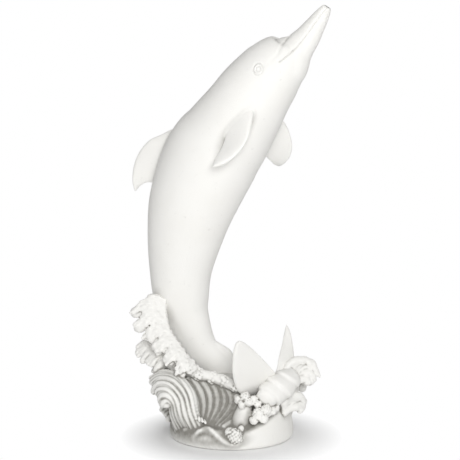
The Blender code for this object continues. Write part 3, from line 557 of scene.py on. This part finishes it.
def mesh_of(name, shells):
    """One mesh of several shells of quads, given in millimetres."""
    counts = np.cumsum([0] + [len(points) for points, _ in shells])
    points = np.concatenate([points for points, _ in shells]) * MM
    faces = np.concatenate([faces + start for (_, faces), start in zip(shells, counts)])
    mesh = bpy.data.meshes.new(name)
    mesh.vertices.add(len(points))
    mesh.vertices.foreach_set("co", points.astype(np.float32).ravel())
    mesh.loops.add(faces.size)
    mesh.loops.foreach_set("vertex_index", faces.astype(np.int32).ravel())
    mesh.polygons.add(len(faces))
    mesh.polygons.foreach_set("loop_start", np.arange(0, faces.size, 4, dtype=np.int32))
    mesh.update(calc_edges=True)
    obj = bpy.data.objects.new(name, mesh)
    bpy.context.scene.collection.objects.link(obj)
    return obj


def settle(obj):
    """Puts what the modifiers make into the object's own mesh."""
    graph = bpy.context.evaluated_depsgraph_get()
    mesh = bpy.data.meshes.new_from_object(obj.evaluated_get(graph))
    obj.modifiers.clear()
    obj.data = mesh
    return obj


def close_and_orient(obj):
    """Merges points that coincide, and turns all faces outwards."""
    work = bmesh.new()
    work.from_mesh(obj.data)
    bmesh.ops.remove_doubles(work, verts=work.verts, dist=0.001 * MM)
    bmesh.ops.recalc_face_normals(work, faces=work.faces)
    work.to_mesh(obj.data)
    work.free()


def one_skin(name, shells, voxel):
    """Overlapping shells as one closed skin of even quads."""
    obj = mesh_of(name, shells)
    skin = obj.modifiers.new("one skin", "REMESH")
    skin.mode = "VOXEL"
    skin.voxel_size = voxel
    return settle(obj)


def fewer_faces(obj, most):
    """Thins the skin where it is plain, to at most this many triangles."""
    thin = obj.modifiers.new("fewer faces", "DECIMATE")
    thin.ratio = min(1, most / (2 * len(obj.data.polygons)))
    return settle(obj)


def read(collection, field, width, kind):
    """A field of a mesh's points, edges or corners as one array."""
    values = np.empty(len(collection) * width, kind)
    collection.foreach_get(field, values)
    return values.reshape(-1, width)


class Skin:
    """A mesh's points in millimetres with what moving them needs: edges, and how many meet a point."""

    def __init__(self, obj):
        self.mesh = obj.data
        self.points = read(self.mesh.vertices, "co", 3, np.float32).astype(float) / MM
        self.edges = read(self.mesh.edges, "vertices", 2, np.int32)
        self.degree = np.bincount(self.edges.ravel(), minlength=len(self.points)).astype(float)

    def mean(self, values):
        """Mean of each point's neighbours."""
        a, b = self.edges.T
        count = len(self.points)
        sums = [np.bincount(a, v[b], count) + np.bincount(b, v[a], count) for v in values.T]
        return np.stack(sums, axis=-1) / self.degree[:, None]

    def relaxed(self, rounds, share=0.6, values=None):
        """Values, or the points, drawn again and again towards the mean of their neighbours."""
        values = self.points if values is None else values
        for _ in range(rounds):
            values = values + share * (self.mean(values) - values)
        return values

    def relax(self, rounds, share=0.6):
        """Moves the mesh's points to their relaxed places."""
        self.points = self.relaxed(rounds, share)
        self.write()

    def normals(self):
        return read(self.mesh.vertex_normals, "vector", 3, np.float32).astype(float)

    def hollow(self, rounds):
        """How far the relaxed skin stands outside the skin, in millimetres: over 0 in a hollow."""
        return ((self.relaxed(rounds) - self.points) * self.normals()).sum(axis=1)

    def write(self):
        """Puts the points back into the mesh."""
        self.mesh.vertices.foreach_set("co", (self.points * MM).astype(np.float32).ravel())
        self.mesh.update()

    def keep(self, name, values):
        """Stores a number for each point under a name that materials read."""
        attribute = self.mesh.attributes.new(name, "FLOAT", "POINT")
        attribute.data.foreach_set("value", values.astype(np.float32))


def carve_water(name, shells, voxel):
    """One skin of water, flat at the foot and relaxed a little."""
    skin = Skin(one_skin(name, shells, voxel))
    skin.relax(2, 0.5)
    skin.points[:, 2] = np.maximum(skin.points[:, 2], 0)
    skin.write()


class SpreadCloud:
    """A cloud of points spread over a grid with cells of half the reach: their number and the sums
    of their positions, smoothed by the kernel (1, 2, 1)/4 along each axis, eight times over."""

    def __init__(self, cloud, reach):
        self.reach = reach
        self.cell = reach / 2
        self.low = cloud.min(axis=0) - 4 * reach
        shape = np.ceil((cloud.max(axis=0) + 4 * reach - self.low) / self.cell).astype(int)
        index = np.ravel_multi_index(((cloud - self.low) / self.cell).astype(int).T, shape)
        sums = [np.bincount(index, weight, shape.prod()) for weight in (np.ones(len(cloud)), *cloud.T)]
        self.grid = np.stack(sums, axis=-1).astype(np.float32).reshape(*shape, 4)
        for _ in range(8):
            for axis in range(3):
                self.grid = (np.roll(self.grid, 1, axis) + 2 * self.grid + np.roll(self.grid, -1, axis)) / 4

    def ahead(self, skin):
        """How far the middle of all the surface within reach lies ahead of each point of a skin, along
        its normal and as a share of the reach: over 0 in a hollow, also between separate forms."""
        place = (skin.points - self.low) / self.cell - 0.5
        corner = place.astype(int)
        part = place - corner
        found = 0
        for step in np.ndindex(2, 2, 2):
            share = np.prod(np.where(step, part, 1 - part), axis=1)[:, None]
            found = found + share * self.grid[tuple((corner + step).T)]
        middle = found[:, 1:] / found[:, :1]
        return ((middle - skin.points) * skin.normals()).sum(axis=1) / self.reach


def keep_wash_and_shade(skin, near_cloud, far_cloud, fine, near, far, all_over):
    """Stores how much wash and painted shade lie at each point: wash and shade in creases, painted shade in
    hollows and where other forms stand close by, and none on ridges, which keep the rest as rubbed wear and
    painted highlight. All over, the wash and shade make the stone darker low down and to the left."""
    x, _, height = skin.points.T
    low = smooth_step((WASH_AND_SHADE_TOP[0] - height) / WASH_AND_SHADE_TOP[1])
    low_left_wash_and_shade = all_over * low * (1 - WASH_AND_SHADE_SIDE_LOSS * smooth_step((x - WASH_AND_SHADE_SIDE[0]) / WASH_AND_SHADE_SIDE[1]))
    # painted shade: the near and far clouds darken hollows and the places between forms; creases take wash
    # and painted shade
    wash_and_shade_level = low_left_wash_and_shade + fine * skin.hollow(5) + near * near_cloud.ahead(skin) + far * far_cloud.ahead(skin)
    # the wash and painted shade are kept, and the rest as rubbed wear and painted highlight on ridges
    for name, part in (("wash_and_shade", wash_and_shade_level), ("rubbed_and_lit", -wash_and_shade_level)):
        skin.keep(name, skin.relaxed(2, 0.5, np.clip(part, 0, 1)[:, None])[:, 0])


def bell(distance, width):
    """1 at no distance, falling off as a bell curve of this half width."""
    return np.exp(-((distance / width) ** 2))


def nearest(points, line):
    """Distance of each point to the nearest point of a line of points."""
    return np.sqrt(((points[:, None] - line[None]) ** 2).sum(axis=-1)).min(axis=1)


class Wire:
    """A shader socket that works in Python sums with numbers and other wires: each adds a Math node."""

    def __init__(self, finish, socket):
        self.finish = finish
        self.socket = socket

    def sum(self, operation, *values):
        return self.finish.node("ShaderNodeMath", {"operation": operation}, dict(enumerate(values)))

    def __add__(self, other):
        return self.sum("ADD", self, other)

    def __sub__(self, other):
        return self.sum("SUBTRACT", self, other)

    def __rsub__(self, other):
        return self.sum("SUBTRACT", other, self)

    def __mul__(self, other):
        return self.sum("MULTIPLY", self, other)

    def __truediv__(self, other):
        return self.sum("DIVIDE", self, other)

    def held(self):
        """Kept between 0 and 1."""
        return self.finish.node("ShaderNodeClamp", {}, {0: self})

    __radd__ = __add__
    __rmul__ = __mul__


class Finish:
    """The nodes of a material or world, and the one way of adding to them."""

    def __init__(self, owner, surface="Principled BSDF", output="Material Output"):
        owner.use_nodes = True
        self.owner = owner
        self.tree = owner.node_tree
        self.surface = self.tree.nodes[surface]
        self.output = self.tree.nodes[output]

    def node(self, kind, settings, values, output=0):
        """Adds a node: its settings first, then the numbers or wires of its sockets."""
        node = self.tree.nodes.new(kind)
        for key, setting in settings.items():
            setattr(node, key, setting)
        self.feed(node, values)
        return Wire(self, node.outputs[output])

    def feed(self, node, values):
        """Links wires to a node's sockets and writes numbers into them."""
        for key, value in values.items():
            if isinstance(value, Wire):
                self.tree.links.new(value.socket, node.inputs[key])
            else:
                node.inputs[key].default_value = value

    def place(self):
        """Position on the piece, in metres."""
        return self.node("ShaderNodeTexCoord", {}, {}, "Object")

    def noise(self, scale, detail=3.0, roughness=0.5):
        """Cloudy noise from 0 to 1 with about this many clouds to the metre."""
        values = {"Vector": self.place(), "Scale": scale, "Detail": detail, "Roughness": roughness}
        return self.node("ShaderNodeTexNoise", {}, values)

    def kept(self, name):
        """The number stored at each point under a name."""
        return self.node("ShaderNodeAttribute", {"attribute_name": name}, {}, "Fac")

    def blend(self, share, first, second):
        """Colours mixed by a share from 0 to 1."""
        return self.node("ShaderNodeMix", {"data_type": "RGBA"}, {0: share, 6: first, 7: second}, 2)

    def bump(self, height, depth):
        """Normals of a fine relief that is this deep, in metres."""
        return self.node("ShaderNodeBump", {}, {"Height": height, "Distance": depth, "Strength": 1.0})

    def ray(self, kind):
        """1 for light rays of a kind, such as those of the camera."""
        return self.node("ShaderNodeLightPath", {}, {}, kind)

    def cover(self, share, shader):
        """Shows another shader over the surface, by a share from 0 to 1."""
        values = {0: share, 1: Wire(self, self.surface.outputs[0]), 2: shader}
        self.feed(self.output, {"Surface": self.node("ShaderNodeMixShader", {}, values)})


def stone_finish_and_painted_shade(name, colours):
    """Matt off-white cast stone: a warm grey wash with painted shade lies in the hollows, creases and between
    forms, darkest where the painted shade is deepest, and thins out over the grain; ridges are painted paler,
    partly as rubbed wear and partly as painted highlight; and the surface is finely pitted."""
    finish = Finish(bpy.data.materials.new(name))
    # the first attribute holds the wash and the painted shade of hollows and close forms, the second rubbed
    # wear and painted highlight on ridges
    wash_and_shade, rubbed_and_lit = finish.kept("wash_and_shade"), finish.kept("rubbed_and_lit")
    cloud, mottle, grain = finish.noise(22, 4), finish.noise(160, 5, 0.6), finish.noise(1300, 4, 0.65)
    # painted shade and wash: the stone darkens towards the wash colour where their level is high
    stain_and_shade = (wash_and_shade * (0.55 + 0.9 * mottle) + (cloud - 0.5) * 0.12).held()
    plain = finish.blend(((cloud - 0.35) * 0.9).held(), colours.stone, colours.warm_stone)
    washed_and_shaded = finish.blend(stain_and_shade, plain, colours.wash_and_shade)
    # painted deep shade where wash and shade lie thickest
    deep = finish.blend(((wash_and_shade - 0.75) * 1.3).held(), washed_and_shaded, colours.deep_wash_and_shade)
    # painted highlight and rubbed wear: ridges and open faces paler
    colour = finish.blend((rubbed_and_lit * 0.7).held(), deep, colours.rubbed_and_lit_stone)
    specks = ((mottle - 0.64) * 6).held() * 0.18
    colour = finish.blend(specks, colour, colours.wash_and_shade)
    pits = finish.bump(grain + mottle * 0.8, PIT_DEPTH)
    finish.feed(
        finish.surface,
        {"Base Color": colour, "Roughness": 0.62 + grain * 0.2, "Normal": pits, "Specular IOR Level": 0.35},
    )
    return finish.owner


def rubber_finish(name, colours):
    """Black flexible tube with a dull bloom."""
    finish = Finish(bpy.data.materials.new(name))
    bloom = finish.noise(300, 4)
    colour = finish.blend((bloom * 0.5).held(), colours.tube, colours.tube_bloom)
    finish.feed(
        finish.surface,
        {"Base Color": colour, "Roughness": 0.42 + bloom * 0.2, "Normal": finish.bump(bloom, BLOOM_DEPTH)},
    )
    return finish.owner


def paper_finish(name, colours, clear_radius):
    """White floor that keeps a shadow near the statue and is plain white to the camera further out."""
    finish = Finish(bpy.data.materials.new(name))
    reach = finish.node("ShaderNodeVectorMath", {"operation": "LENGTH"}, {0: finish.place()}, "Value")
    far = ((reach - clear_radius) / (FLOOR_FADE * clear_radius)).held()
    seen = finish.ray("Is Camera Ray") + finish.ray("Is Glossy Ray")
    white = finish.node("ShaderNodeEmission", {}, {"Color": colours.backdrop, "Strength": 1.0})
    finish.feed(finish.surface, {"Base Color": colours.floor, "Roughness": 0.9, "Specular IOR Level": 0.1})
    finish.cover((far * seen).held(), white)
    return finish.owner


def shown(obj, material):
    """Finishes a piece: smooth shading, its material and slot, and its body."""
    obj.data.materials.clear()
    obj.data.materials.append(material)
    obj.data.shade_smooth()
    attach(obj, "root")


def colour_property(name, description, default):
    """A colour that a user may pick."""
    return bpy.props.FloatVectorProperty(
        name=name, description=description, default=(*default, 1.0), size=4, subtype="COLOR", min=0, max=1
    )


def length_property(name, description, default):
    """A length that a user may set."""
    return bpy.props.FloatProperty(
        name=name, description=description, default=default, unit="LENGTH", subtype="DISTANCE", min=0
    )


class StatueSizes(bpy.types.PropertyGroup):
    """Sizes of the carving that a user may change."""

    voxel: length_property("Skin", "Spacing of the carved surface", 0.8 * MM)
    mouth_depth: length_property("Mouth line", "Depth of the line of the mouth", 1.3 * MM)
    mouth_width: length_property("Mouth width", "Half width of the line of the mouth", 1.0 * MM)
    fold_depth: length_property("Brow fold", "Depth of the fold between brow and beak", 1.3 * MM)
    fold_width: length_property("Brow fold width", "Half width of the fold between brow and beak", 2.0 * MM)
    eye_radius: length_property("Eye ring", "Radius of the ring round each eye", 4.0 * MM)
    eye_relief: length_property("Eye relief", "How far the ring and the ball of the eye stand out", 1.2 * MM)
    most_triangles: bpy.props.IntProperty(
        name="Most triangles", description="Most triangles in one piece", default=190000, min=1000
    )


class StatueColours(bpy.types.PropertyGroup):
    """Colours of the finish."""

    stone: colour_property("Stone", "Main colour of the stone", (0.86, 0.852, 0.825))
    warm_stone: colour_property("Warm stone", "Warmer clouds in the stone", (0.85, 0.835, 0.79))
    # Ridges and open faces: partly rubbed wear, partly painted highlight
    rubbed_and_lit_stone: colour_property("Rubbed stone", "Ridges where the wash is rubbed off", (0.89, 0.882, 0.85))
    # Colour of the wash and of the painted shade in hollows and between forms
    wash_and_shade: colour_property("Wash", "Antique wash in the hollows", (0.30, 0.29, 0.262))
    # Painted deep shade where the wash and shade lie thickest
    deep_wash_and_shade: colour_property("Deep wash", "Wash where it lies thickest", (0.15, 0.143, 0.128))
    tube: colour_property("Tube", "Water tube", (0.012, 0.012, 0.013))
    tube_bloom: colour_property("Tube bloom", "Dull bloom on the tube", (0.03, 0.03, 0.032))
    floor: colour_property("Floor", "Floor under the statue", (0.93, 0.93, 0.93))
    backdrop: colour_property("Backdrop", "White behind the statue", (1.0, 1.0, 1.0))


class STATUE_OT_dolphin(bpy.types.Operator):
    """Carve the dolphin: trunk, beak, flippers, dorsal fin and flukes in one skin"""

    bl_idname = "statue.dolphin"
    bl_label = "Dolphin"

    def execute(self, context):
        sizes = context.scene.statue_sizes
        shells = [
            loft(TRUNK, 200, 160),
            loft(BEAK, 120, 96),
            fin(RIGHT_FLIPPER, DOLPHIN_TURN, FLIPPER_THICKNESS),
            fin(LEFT_FLIPPER, DOLPHIN_TURN, FLIPPER_THICKNESS),
            fin(DORSAL_FIN, DOLPHIN_TURN, DORSAL_THICKNESS),
            fin(TAIL_KEEL, DOLPHIN_TURN, TAIL_KEEL_THICKNESS),
            fin(RIGHT_FLUKE, FLUKE_TURN, FLUKE_THICKNESS),
            fin(LEFT_FLUKE, FLUKE_TURN, FLUKE_THICKNESS),
        ]
        obj = one_skin("dolphin", shells, sizes.voxel)
        skin = Skin(obj)
        skin.relax(5)
        self.fillet(skin)
        self.carve_face(skin, sizes)
        return {"FINISHED"}

    def fillet(self, skin):
        """Draws the skin smooth in the creases where fins meet the trunk, and less so elsewhere."""
        crease = np.clip(skin.hollow(20) / CREASE_DEPTH - 0.15, 0, 1)
        sunk = crease * smooth_step((FILLET_TOP - skin.points[:, 2]) / FILLET_FADE)
        share = np.clip(1.6 * skin.relaxed(6, 0.6, sunk[:, None]), 0, 1)
        skin.relax(FILLET_ROUNDS, 0.6 * share)

    def carve_face(self, skin, sizes):
        """Presses the mouth and the brow's fold in by bell curves of the distance from their lines, and
        raises the eye: a bell curve at the ring's radius and a cap inside it, with a groove between."""
        forward, side, height = turned(skin.points, DOLPHIN_TURN).T
        flat = np.column_stack([forward, height])
        head = height > HEAD_FLOOR
        flank = smooth_step((np.abs(side) - FLANK_START) / FLANK_START)
        fading = smooth_step((height - BROW_FOLD[-1][1]) / BROW_FOLD_FADE)
        groove = 0
        for line, depth, width in (
            (MOUTH, sizes.mouth_depth, sizes.mouth_width),
            (BROW_FOLD, sizes.fold_depth * fading, sizes.fold_width),
        ):
            away = np.full(len(flat), 1e3)
            away[head] = nearest(flat[head], through(line, 120))
            groove = groove + depth / MM * bell(away * MM, width) * flank
        across, up = forward - EYE_PLACE[0], (height - EYE_PLACE[1]) / EYE_HALF_HEIGHT_SHARE
        reach = np.hypot(across, up)
        radius, relief = sizes.eye_radius / MM, sizes.eye_relief / MM
        ring = bell(reach - radius, EYE_RING_WIDTH)
        ring = ring - 0.6 * bell(reach - radius - EYE_GROOVE[0], EYE_GROOVE[1])
        ball = 1.1 * np.sqrt(np.clip(1 - (reach / (EYE_BALL_SHARE * radius)) ** 2, 0, 1))
        ball = ball - 0.5 * (reach < radius)
        eye = relief * (ring + ball) * (np.abs(side) > EYE_SIDE)
        skin.points = skin.points + skin.normals() * (eye - groove)[:, None]
        skin.write()


class STATUE_OT_waves(bpy.types.Operator):
    """Carve the waves at the front and sides: body of water, crests, fan, rolls and foam"""

    bl_idname = "statue.waves"
    bl_label = "Waves"

    def execute(self, context):
        sizes = context.scene.statue_sizes
        swells = [on_water(rows) for rows in (FRONT_RIM, FRONT_BAND, FRONT_SWELL, RIGHT_RIDGE)]
        rolls = map(roll, [*swells, CENTRE_STEM, FOAM_BED])
        smooth_water = one_skin("smooth water", [body_of_water(), *rolls], WATER_VOXEL)
        skin = Skin(smooth_water)
        skin.relax(WATER_ROUNDS)
        water = (skin.points, read(skin.mesh.loops, "vertex_index", 1, np.int32).reshape(-1, 4))
        bpy.data.objects.remove(smooth_water)
        forms = (BACK_CREST, LEFT_CURL, MAIN_CREST, TAIL_FOAM, ROLL_HEAD, LOW_CURL)
        back, left, main, tail, head, low = (np.array(form, float) for form in forms)
        shells = [
            water,
            fingers(back, 12, 7, root=0.9, knuckle=0.05, stretch=0.1, uneven=0.1, lobes=6, notch=0.35),
            fingers(back, 24, 4.6, knuckles=1.6, knuckle=0.14, lobes=6, notch=0.35, stretch=0.15),
            fingers(back + [-1, -5, 3], 36, 2.6, root=0.7, knuckles=3, knuckle=0.25, lobes=6),
            fingers(left, 7, 5, root=0.7, knuckle=0.08),
            fingers(left + [0, -2, 1], 12, 3, root=0.7, knuckle=0.12, stretch=0.15, lobes=2),
            fingers(main, 8, 6, knuckles=3, knuckle=0.03),
            fingers(main + [-1, -4, 1], 12, 2.8, knuckle=0.08, stretch=0.15, uneven=0.35, seed=2),
            fingers(SHELL_CURL, 7, 3.8),
            fingers(FAN, 8, 5.3, knuckle=0.0, stretch=0.0, uneven=0.08),
            fingers(FAN_BACKING, 6, 9, root=0.9, knuckle=0, stretch=0),
            roll(tail, ribs=3, rib_depth=0.12, lean=0.3),
            *foam(tail * [1, 1, 1, TAIL_FOAM_SWELL], 30),
            fingers(FOAM_LIP, 6, 1.5),
            fingers(STEM, 9, 5.5, root=1.0, knuckle=0.03, uneven=0.2),
            roll(RIGHT_ROLL, ribs=4, rib_depth=0.22, lean=0.35),
            fingers(head, 6, 5.2, root=0.9, stretch=0.15, knuckle=0.05),
            fingers(head + [1, -1, 1], 11, 2.9, stretch=0.5, knuckle=0.15, knuckles=3),
            fingers(low, 5, 5.5, root=0.9, stretch=0.1),
            fingers(low + [0, -3, 1], 9, 2.7),
            *foam(FRONT_BALL, 70),
            *foam(CENTRE_FOAM, 40),
            *foam(RIGHT_FOAM, 50),
        ]
        carve_water("waves", shells, sizes.voxel)
        return {"FINISHED"}


class STATUE_OT_rear_waves(bpy.types.Operator):
    """Carve the crests on the side that faces away, of the same kind as those in front"""

    bl_idname = "statue.rear_waves"
    bl_label = "Rear waves"

    def execute(self, context):
        crest = turned_about_axis(across_the_dolphin(MAIN_CREST, REAR_SHARE), REAR_TURN)
        fan = turned_about_axis(across_the_dolphin(FAN, REAR_SHARE), REAR_TURN)
        side_crest = turned_about_axis(MAIN_CREST, SIDE_TURN)
        back = across_the_dolphin(BACK_CREST[1:], REAR_BACK_SHARE, REAR_BACK_DROP)
        shells = [
            fingers(back, 11, 6.5, root=0.9, knuckle=0.05, stretch=0.1, lobes=5, notch=0.45, seed=1),
            fingers(back, 23, 3.9, root=0.9, knuckles=1.6, knuckle=0.14, lobes=5, notch=0.4, seed=2),
            fingers(crest, 8, 5, knuckles=3, knuckle=0.03, seed=2),
            fingers(crest + [0, 2, 1], 11, 3, root=0.9, knuckle=0.06, seed=3),
            fingers(fan, 9, 4.1, root=0.75, knuckle=0, stretch=0, uneven=0.06),
            fingers(side_crest, 8, 5, knuckles=3, knuckle=0.03, seed=4),
            fingers(side_crest + [1, 1, 1], 11, 3, root=0.9, knuckle=0.06, seed=5),
            *foam(REAR_FOAM, 50),
        ]
        carve_water("rear_waves", shells, context.scene.statue_sizes.voxel)
        return {"FINISHED"}


class STATUE_OT_antique_finish_and_shade(bpy.types.Operator):
    """Lay the antique wash with painted shade and painted highlight on all the stone, thin out its plain
    faces and give it its material
    """

    bl_idname = "statue.antique_finish"
    bl_label = "Antique finish"

    def execute(self, context):
        sizes, colours = context.scene.statue_sizes, context.scene.statue_colours
        skins = [Skin(bpy.data.objects[name]) for name in STONE_PIECES]
        cloud = np.concatenate([skin.points for skin in skins])
        # Clouds that find hollows and forms close by, for the painted shade
        near, far = (SpreadCloud(cloud, reach) for reach in WASH_AND_SHADE_REACH)
        # The stone material paints the wash with shade in the hollows and highlight on the ridges
        stone = stone_finish_and_painted_shade("antique stone", colours)
        for skin, (name, wash_and_shade) in zip(skins, STONE_PIECES.items()):
            keep_wash_and_shade(skin, near, far, *wash_and_shade)
            obj = fewer_faces(bpy.data.objects[name], sizes.most_triangles)
            shown(obj, stone)
        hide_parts("dolphin_on_waves")
        return {"FINISHED"}


class STATUE_OT_water_tube(bpy.types.Operator):
    """Lay the water tube from the beak down through the body to its stub behind the base"""

    bl_idname = "statue.water_tube"
    bl_label = "Water tube"

    def execute(self, context):
        beak, trunk = np.array(BEAK)[:2:-1, :2], np.array(TRUNK)[14:3:-1, :2]
        line = np.concatenate([beak, trunk])
        inside = turned(np.column_stack([line[:, 0], np.zeros(len(line)), line[:, 1]]), DOLPHIN_TURN)
        rear, (across, height) = FOOT[1], TUBE_EXIT
        out = [(across, rear - 4, height), (across, rear + TUBE_STUB, height)]
        path = through(np.concatenate([inside, TUBE_BEND, out]), TUBE_RINGS)
        way = np.concatenate([path, path[::-1]])
        radius = np.repeat([TUBE_OUTER / 2, TUBE_BORE / 2], len(path))
        ahead = unit(np.gradient(path, axis=0))
        over = unit(np.cross(ahead, TUBE_ASIDE))
        beside = np.cross(over, ahead)
        around = circle(TUBE_SIDES)[:, None]
        ring = over[:, None] * np.cos(around) + beside[:, None] * np.sin(around)
        ring = np.concatenate([ring, ring[::-1]])
        points = way[:, None] + radius[:, None, None] * ring
        obj = mesh_of("pond_tube", [grid_shell(np.concatenate([points, points[:1]])[None])])
        close_and_orient(obj)
        shown(obj, rubber_finish("tube rubber", context.scene.statue_colours))
        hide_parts("water_tube")
        return {"FINISHED"}


class STATUE_OT_stage(bpy.types.Operator):
    """Set the white floor and backdrop, the soft lamps and the camera"""

    bl_idname = "statue.stage"
    bl_label = "Stage"

    def execute(self, context):
        colours = context.scene.statue_colours
        self.floor(colours)
        self.world(colours)
        self.lamps()
        self.camera(context)
        context.scene.view_settings.view_transform = "Standard"
        return {"FINISHED"}

    def floor(self, colours):
        """A disc: radius times (cos a, sin a), with its edge far outside the view."""
        reach = np.array(FLOOR_RINGS)[:, None]
        rings = round_axis(reach, circle(FLOOR_SIDES), 0 * reach)
        disc = mesh_of("floor", [grid_shell(rings[None])])
        disc.data.materials.append(paper_finish("floor paper", colours, FLOOR_CLEAR))

    def world(self, colours):
        """Soft light from all round, and plain white wherever the camera sees past the floor."""
        world = bpy.data.worlds.new("studio")
        bpy.context.scene.world = world
        finish = Finish(world, "Background", "World Output")
        finish.feed(finish.surface, {"Color": (1, 1, 1, 1), "Strength": SKY_STRENGTH})
        white = finish.node("ShaderNodeBackground", {}, {"Color": colours.backdrop, "Strength": 1.0})
        finish.cover(finish.ray("Is Camera Ray"), white)

    def lamps(self):
        """Large soft lamps, all turned to the statue's middle."""
        for name, place, width, watts in LAMPS:
            lamp = bpy.data.lights.new(name, "AREA")
            lamp.size = width
            lamp.energy = watts
            obj = bpy.data.objects.new(name, lamp)
            bpy.context.scene.collection.objects.link(obj)
            obj.location = place
            obj.rotation_euler = (Vector(LAMP_AIM) - Vector(place)).to_track_quat("-Z", "Y").to_euler()

    def camera(self, context):
        """The photograph's view."""
        camera = bpy.data.objects.new("camera", bpy.data.cameras.new("camera"))
        context.scene.collection.objects.link(camera)
        back = Vector((0, -math.cos(VIEW_ELEVATION), math.sin(VIEW_ELEVATION)))
        camera.location = Vector(VIEW_AIM) + back * VIEW_DISTANCE
        camera.rotation_euler = (-back).to_track_quat("-Z", "Y").to_euler()
        camera.data.lens = VIEW_LENS
        context.scene.camera = camera


class STATUE_PT_panel(bpy.types.Panel):
    """Lists the pieces, sizes and colours"""

    bl_label = "Dolphin spitter"
    bl_idname = "STATUE_PT_panel"
    bl_space_type = "VIEW_3D"
    bl_region_type = "UI"
    bl_category = "Statue"

    def draw(self, context):
        for operator in OPERATORS:
            self.layout.operator(operator.bl_idname)
        for group in (context.scene.statue_sizes, context.scene.statue_colours):
            for name in group.__annotations__:
                self.layout.prop(group, name)


OPERATORS = (
    STATUE_OT_dolphin,
    STATUE_OT_waves,
    STATUE_OT_rear_waves,
    STATUE_OT_antique_finish_and_shade,
    STATUE_OT_water_tube,
    STATUE_OT_stage,
)
CLASSES = (StatueSizes, StatueColours, *OPERATORS, STATUE_PT_panel)


def register():
    for cls in CLASSES:
        bpy.utils.register_class(cls)
    bpy.types.Scene.statue_sizes = bpy.props.PointerProperty(type=StatueSizes)
    bpy.types.Scene.statue_colours = bpy.props.PointerProperty(type=StatueColours)


def unregister():
    del bpy.types.Scene.statue_colours
    del bpy.types.Scene.statue_sizes
    for cls in reversed(CLASSES):
        bpy.utils.unregister_class(cls)


def main():
    register()
    bpy.ops.statue.dolphin()
    bpy.ops.statue.waves()
    bpy.ops.statue.rear_waves()
    bpy.ops.statue.antique_finish()
    bpy.ops.statue.water_tube()
    bpy.ops.statue.stage()
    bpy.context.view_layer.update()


if __name__ == "__main__":
    main()
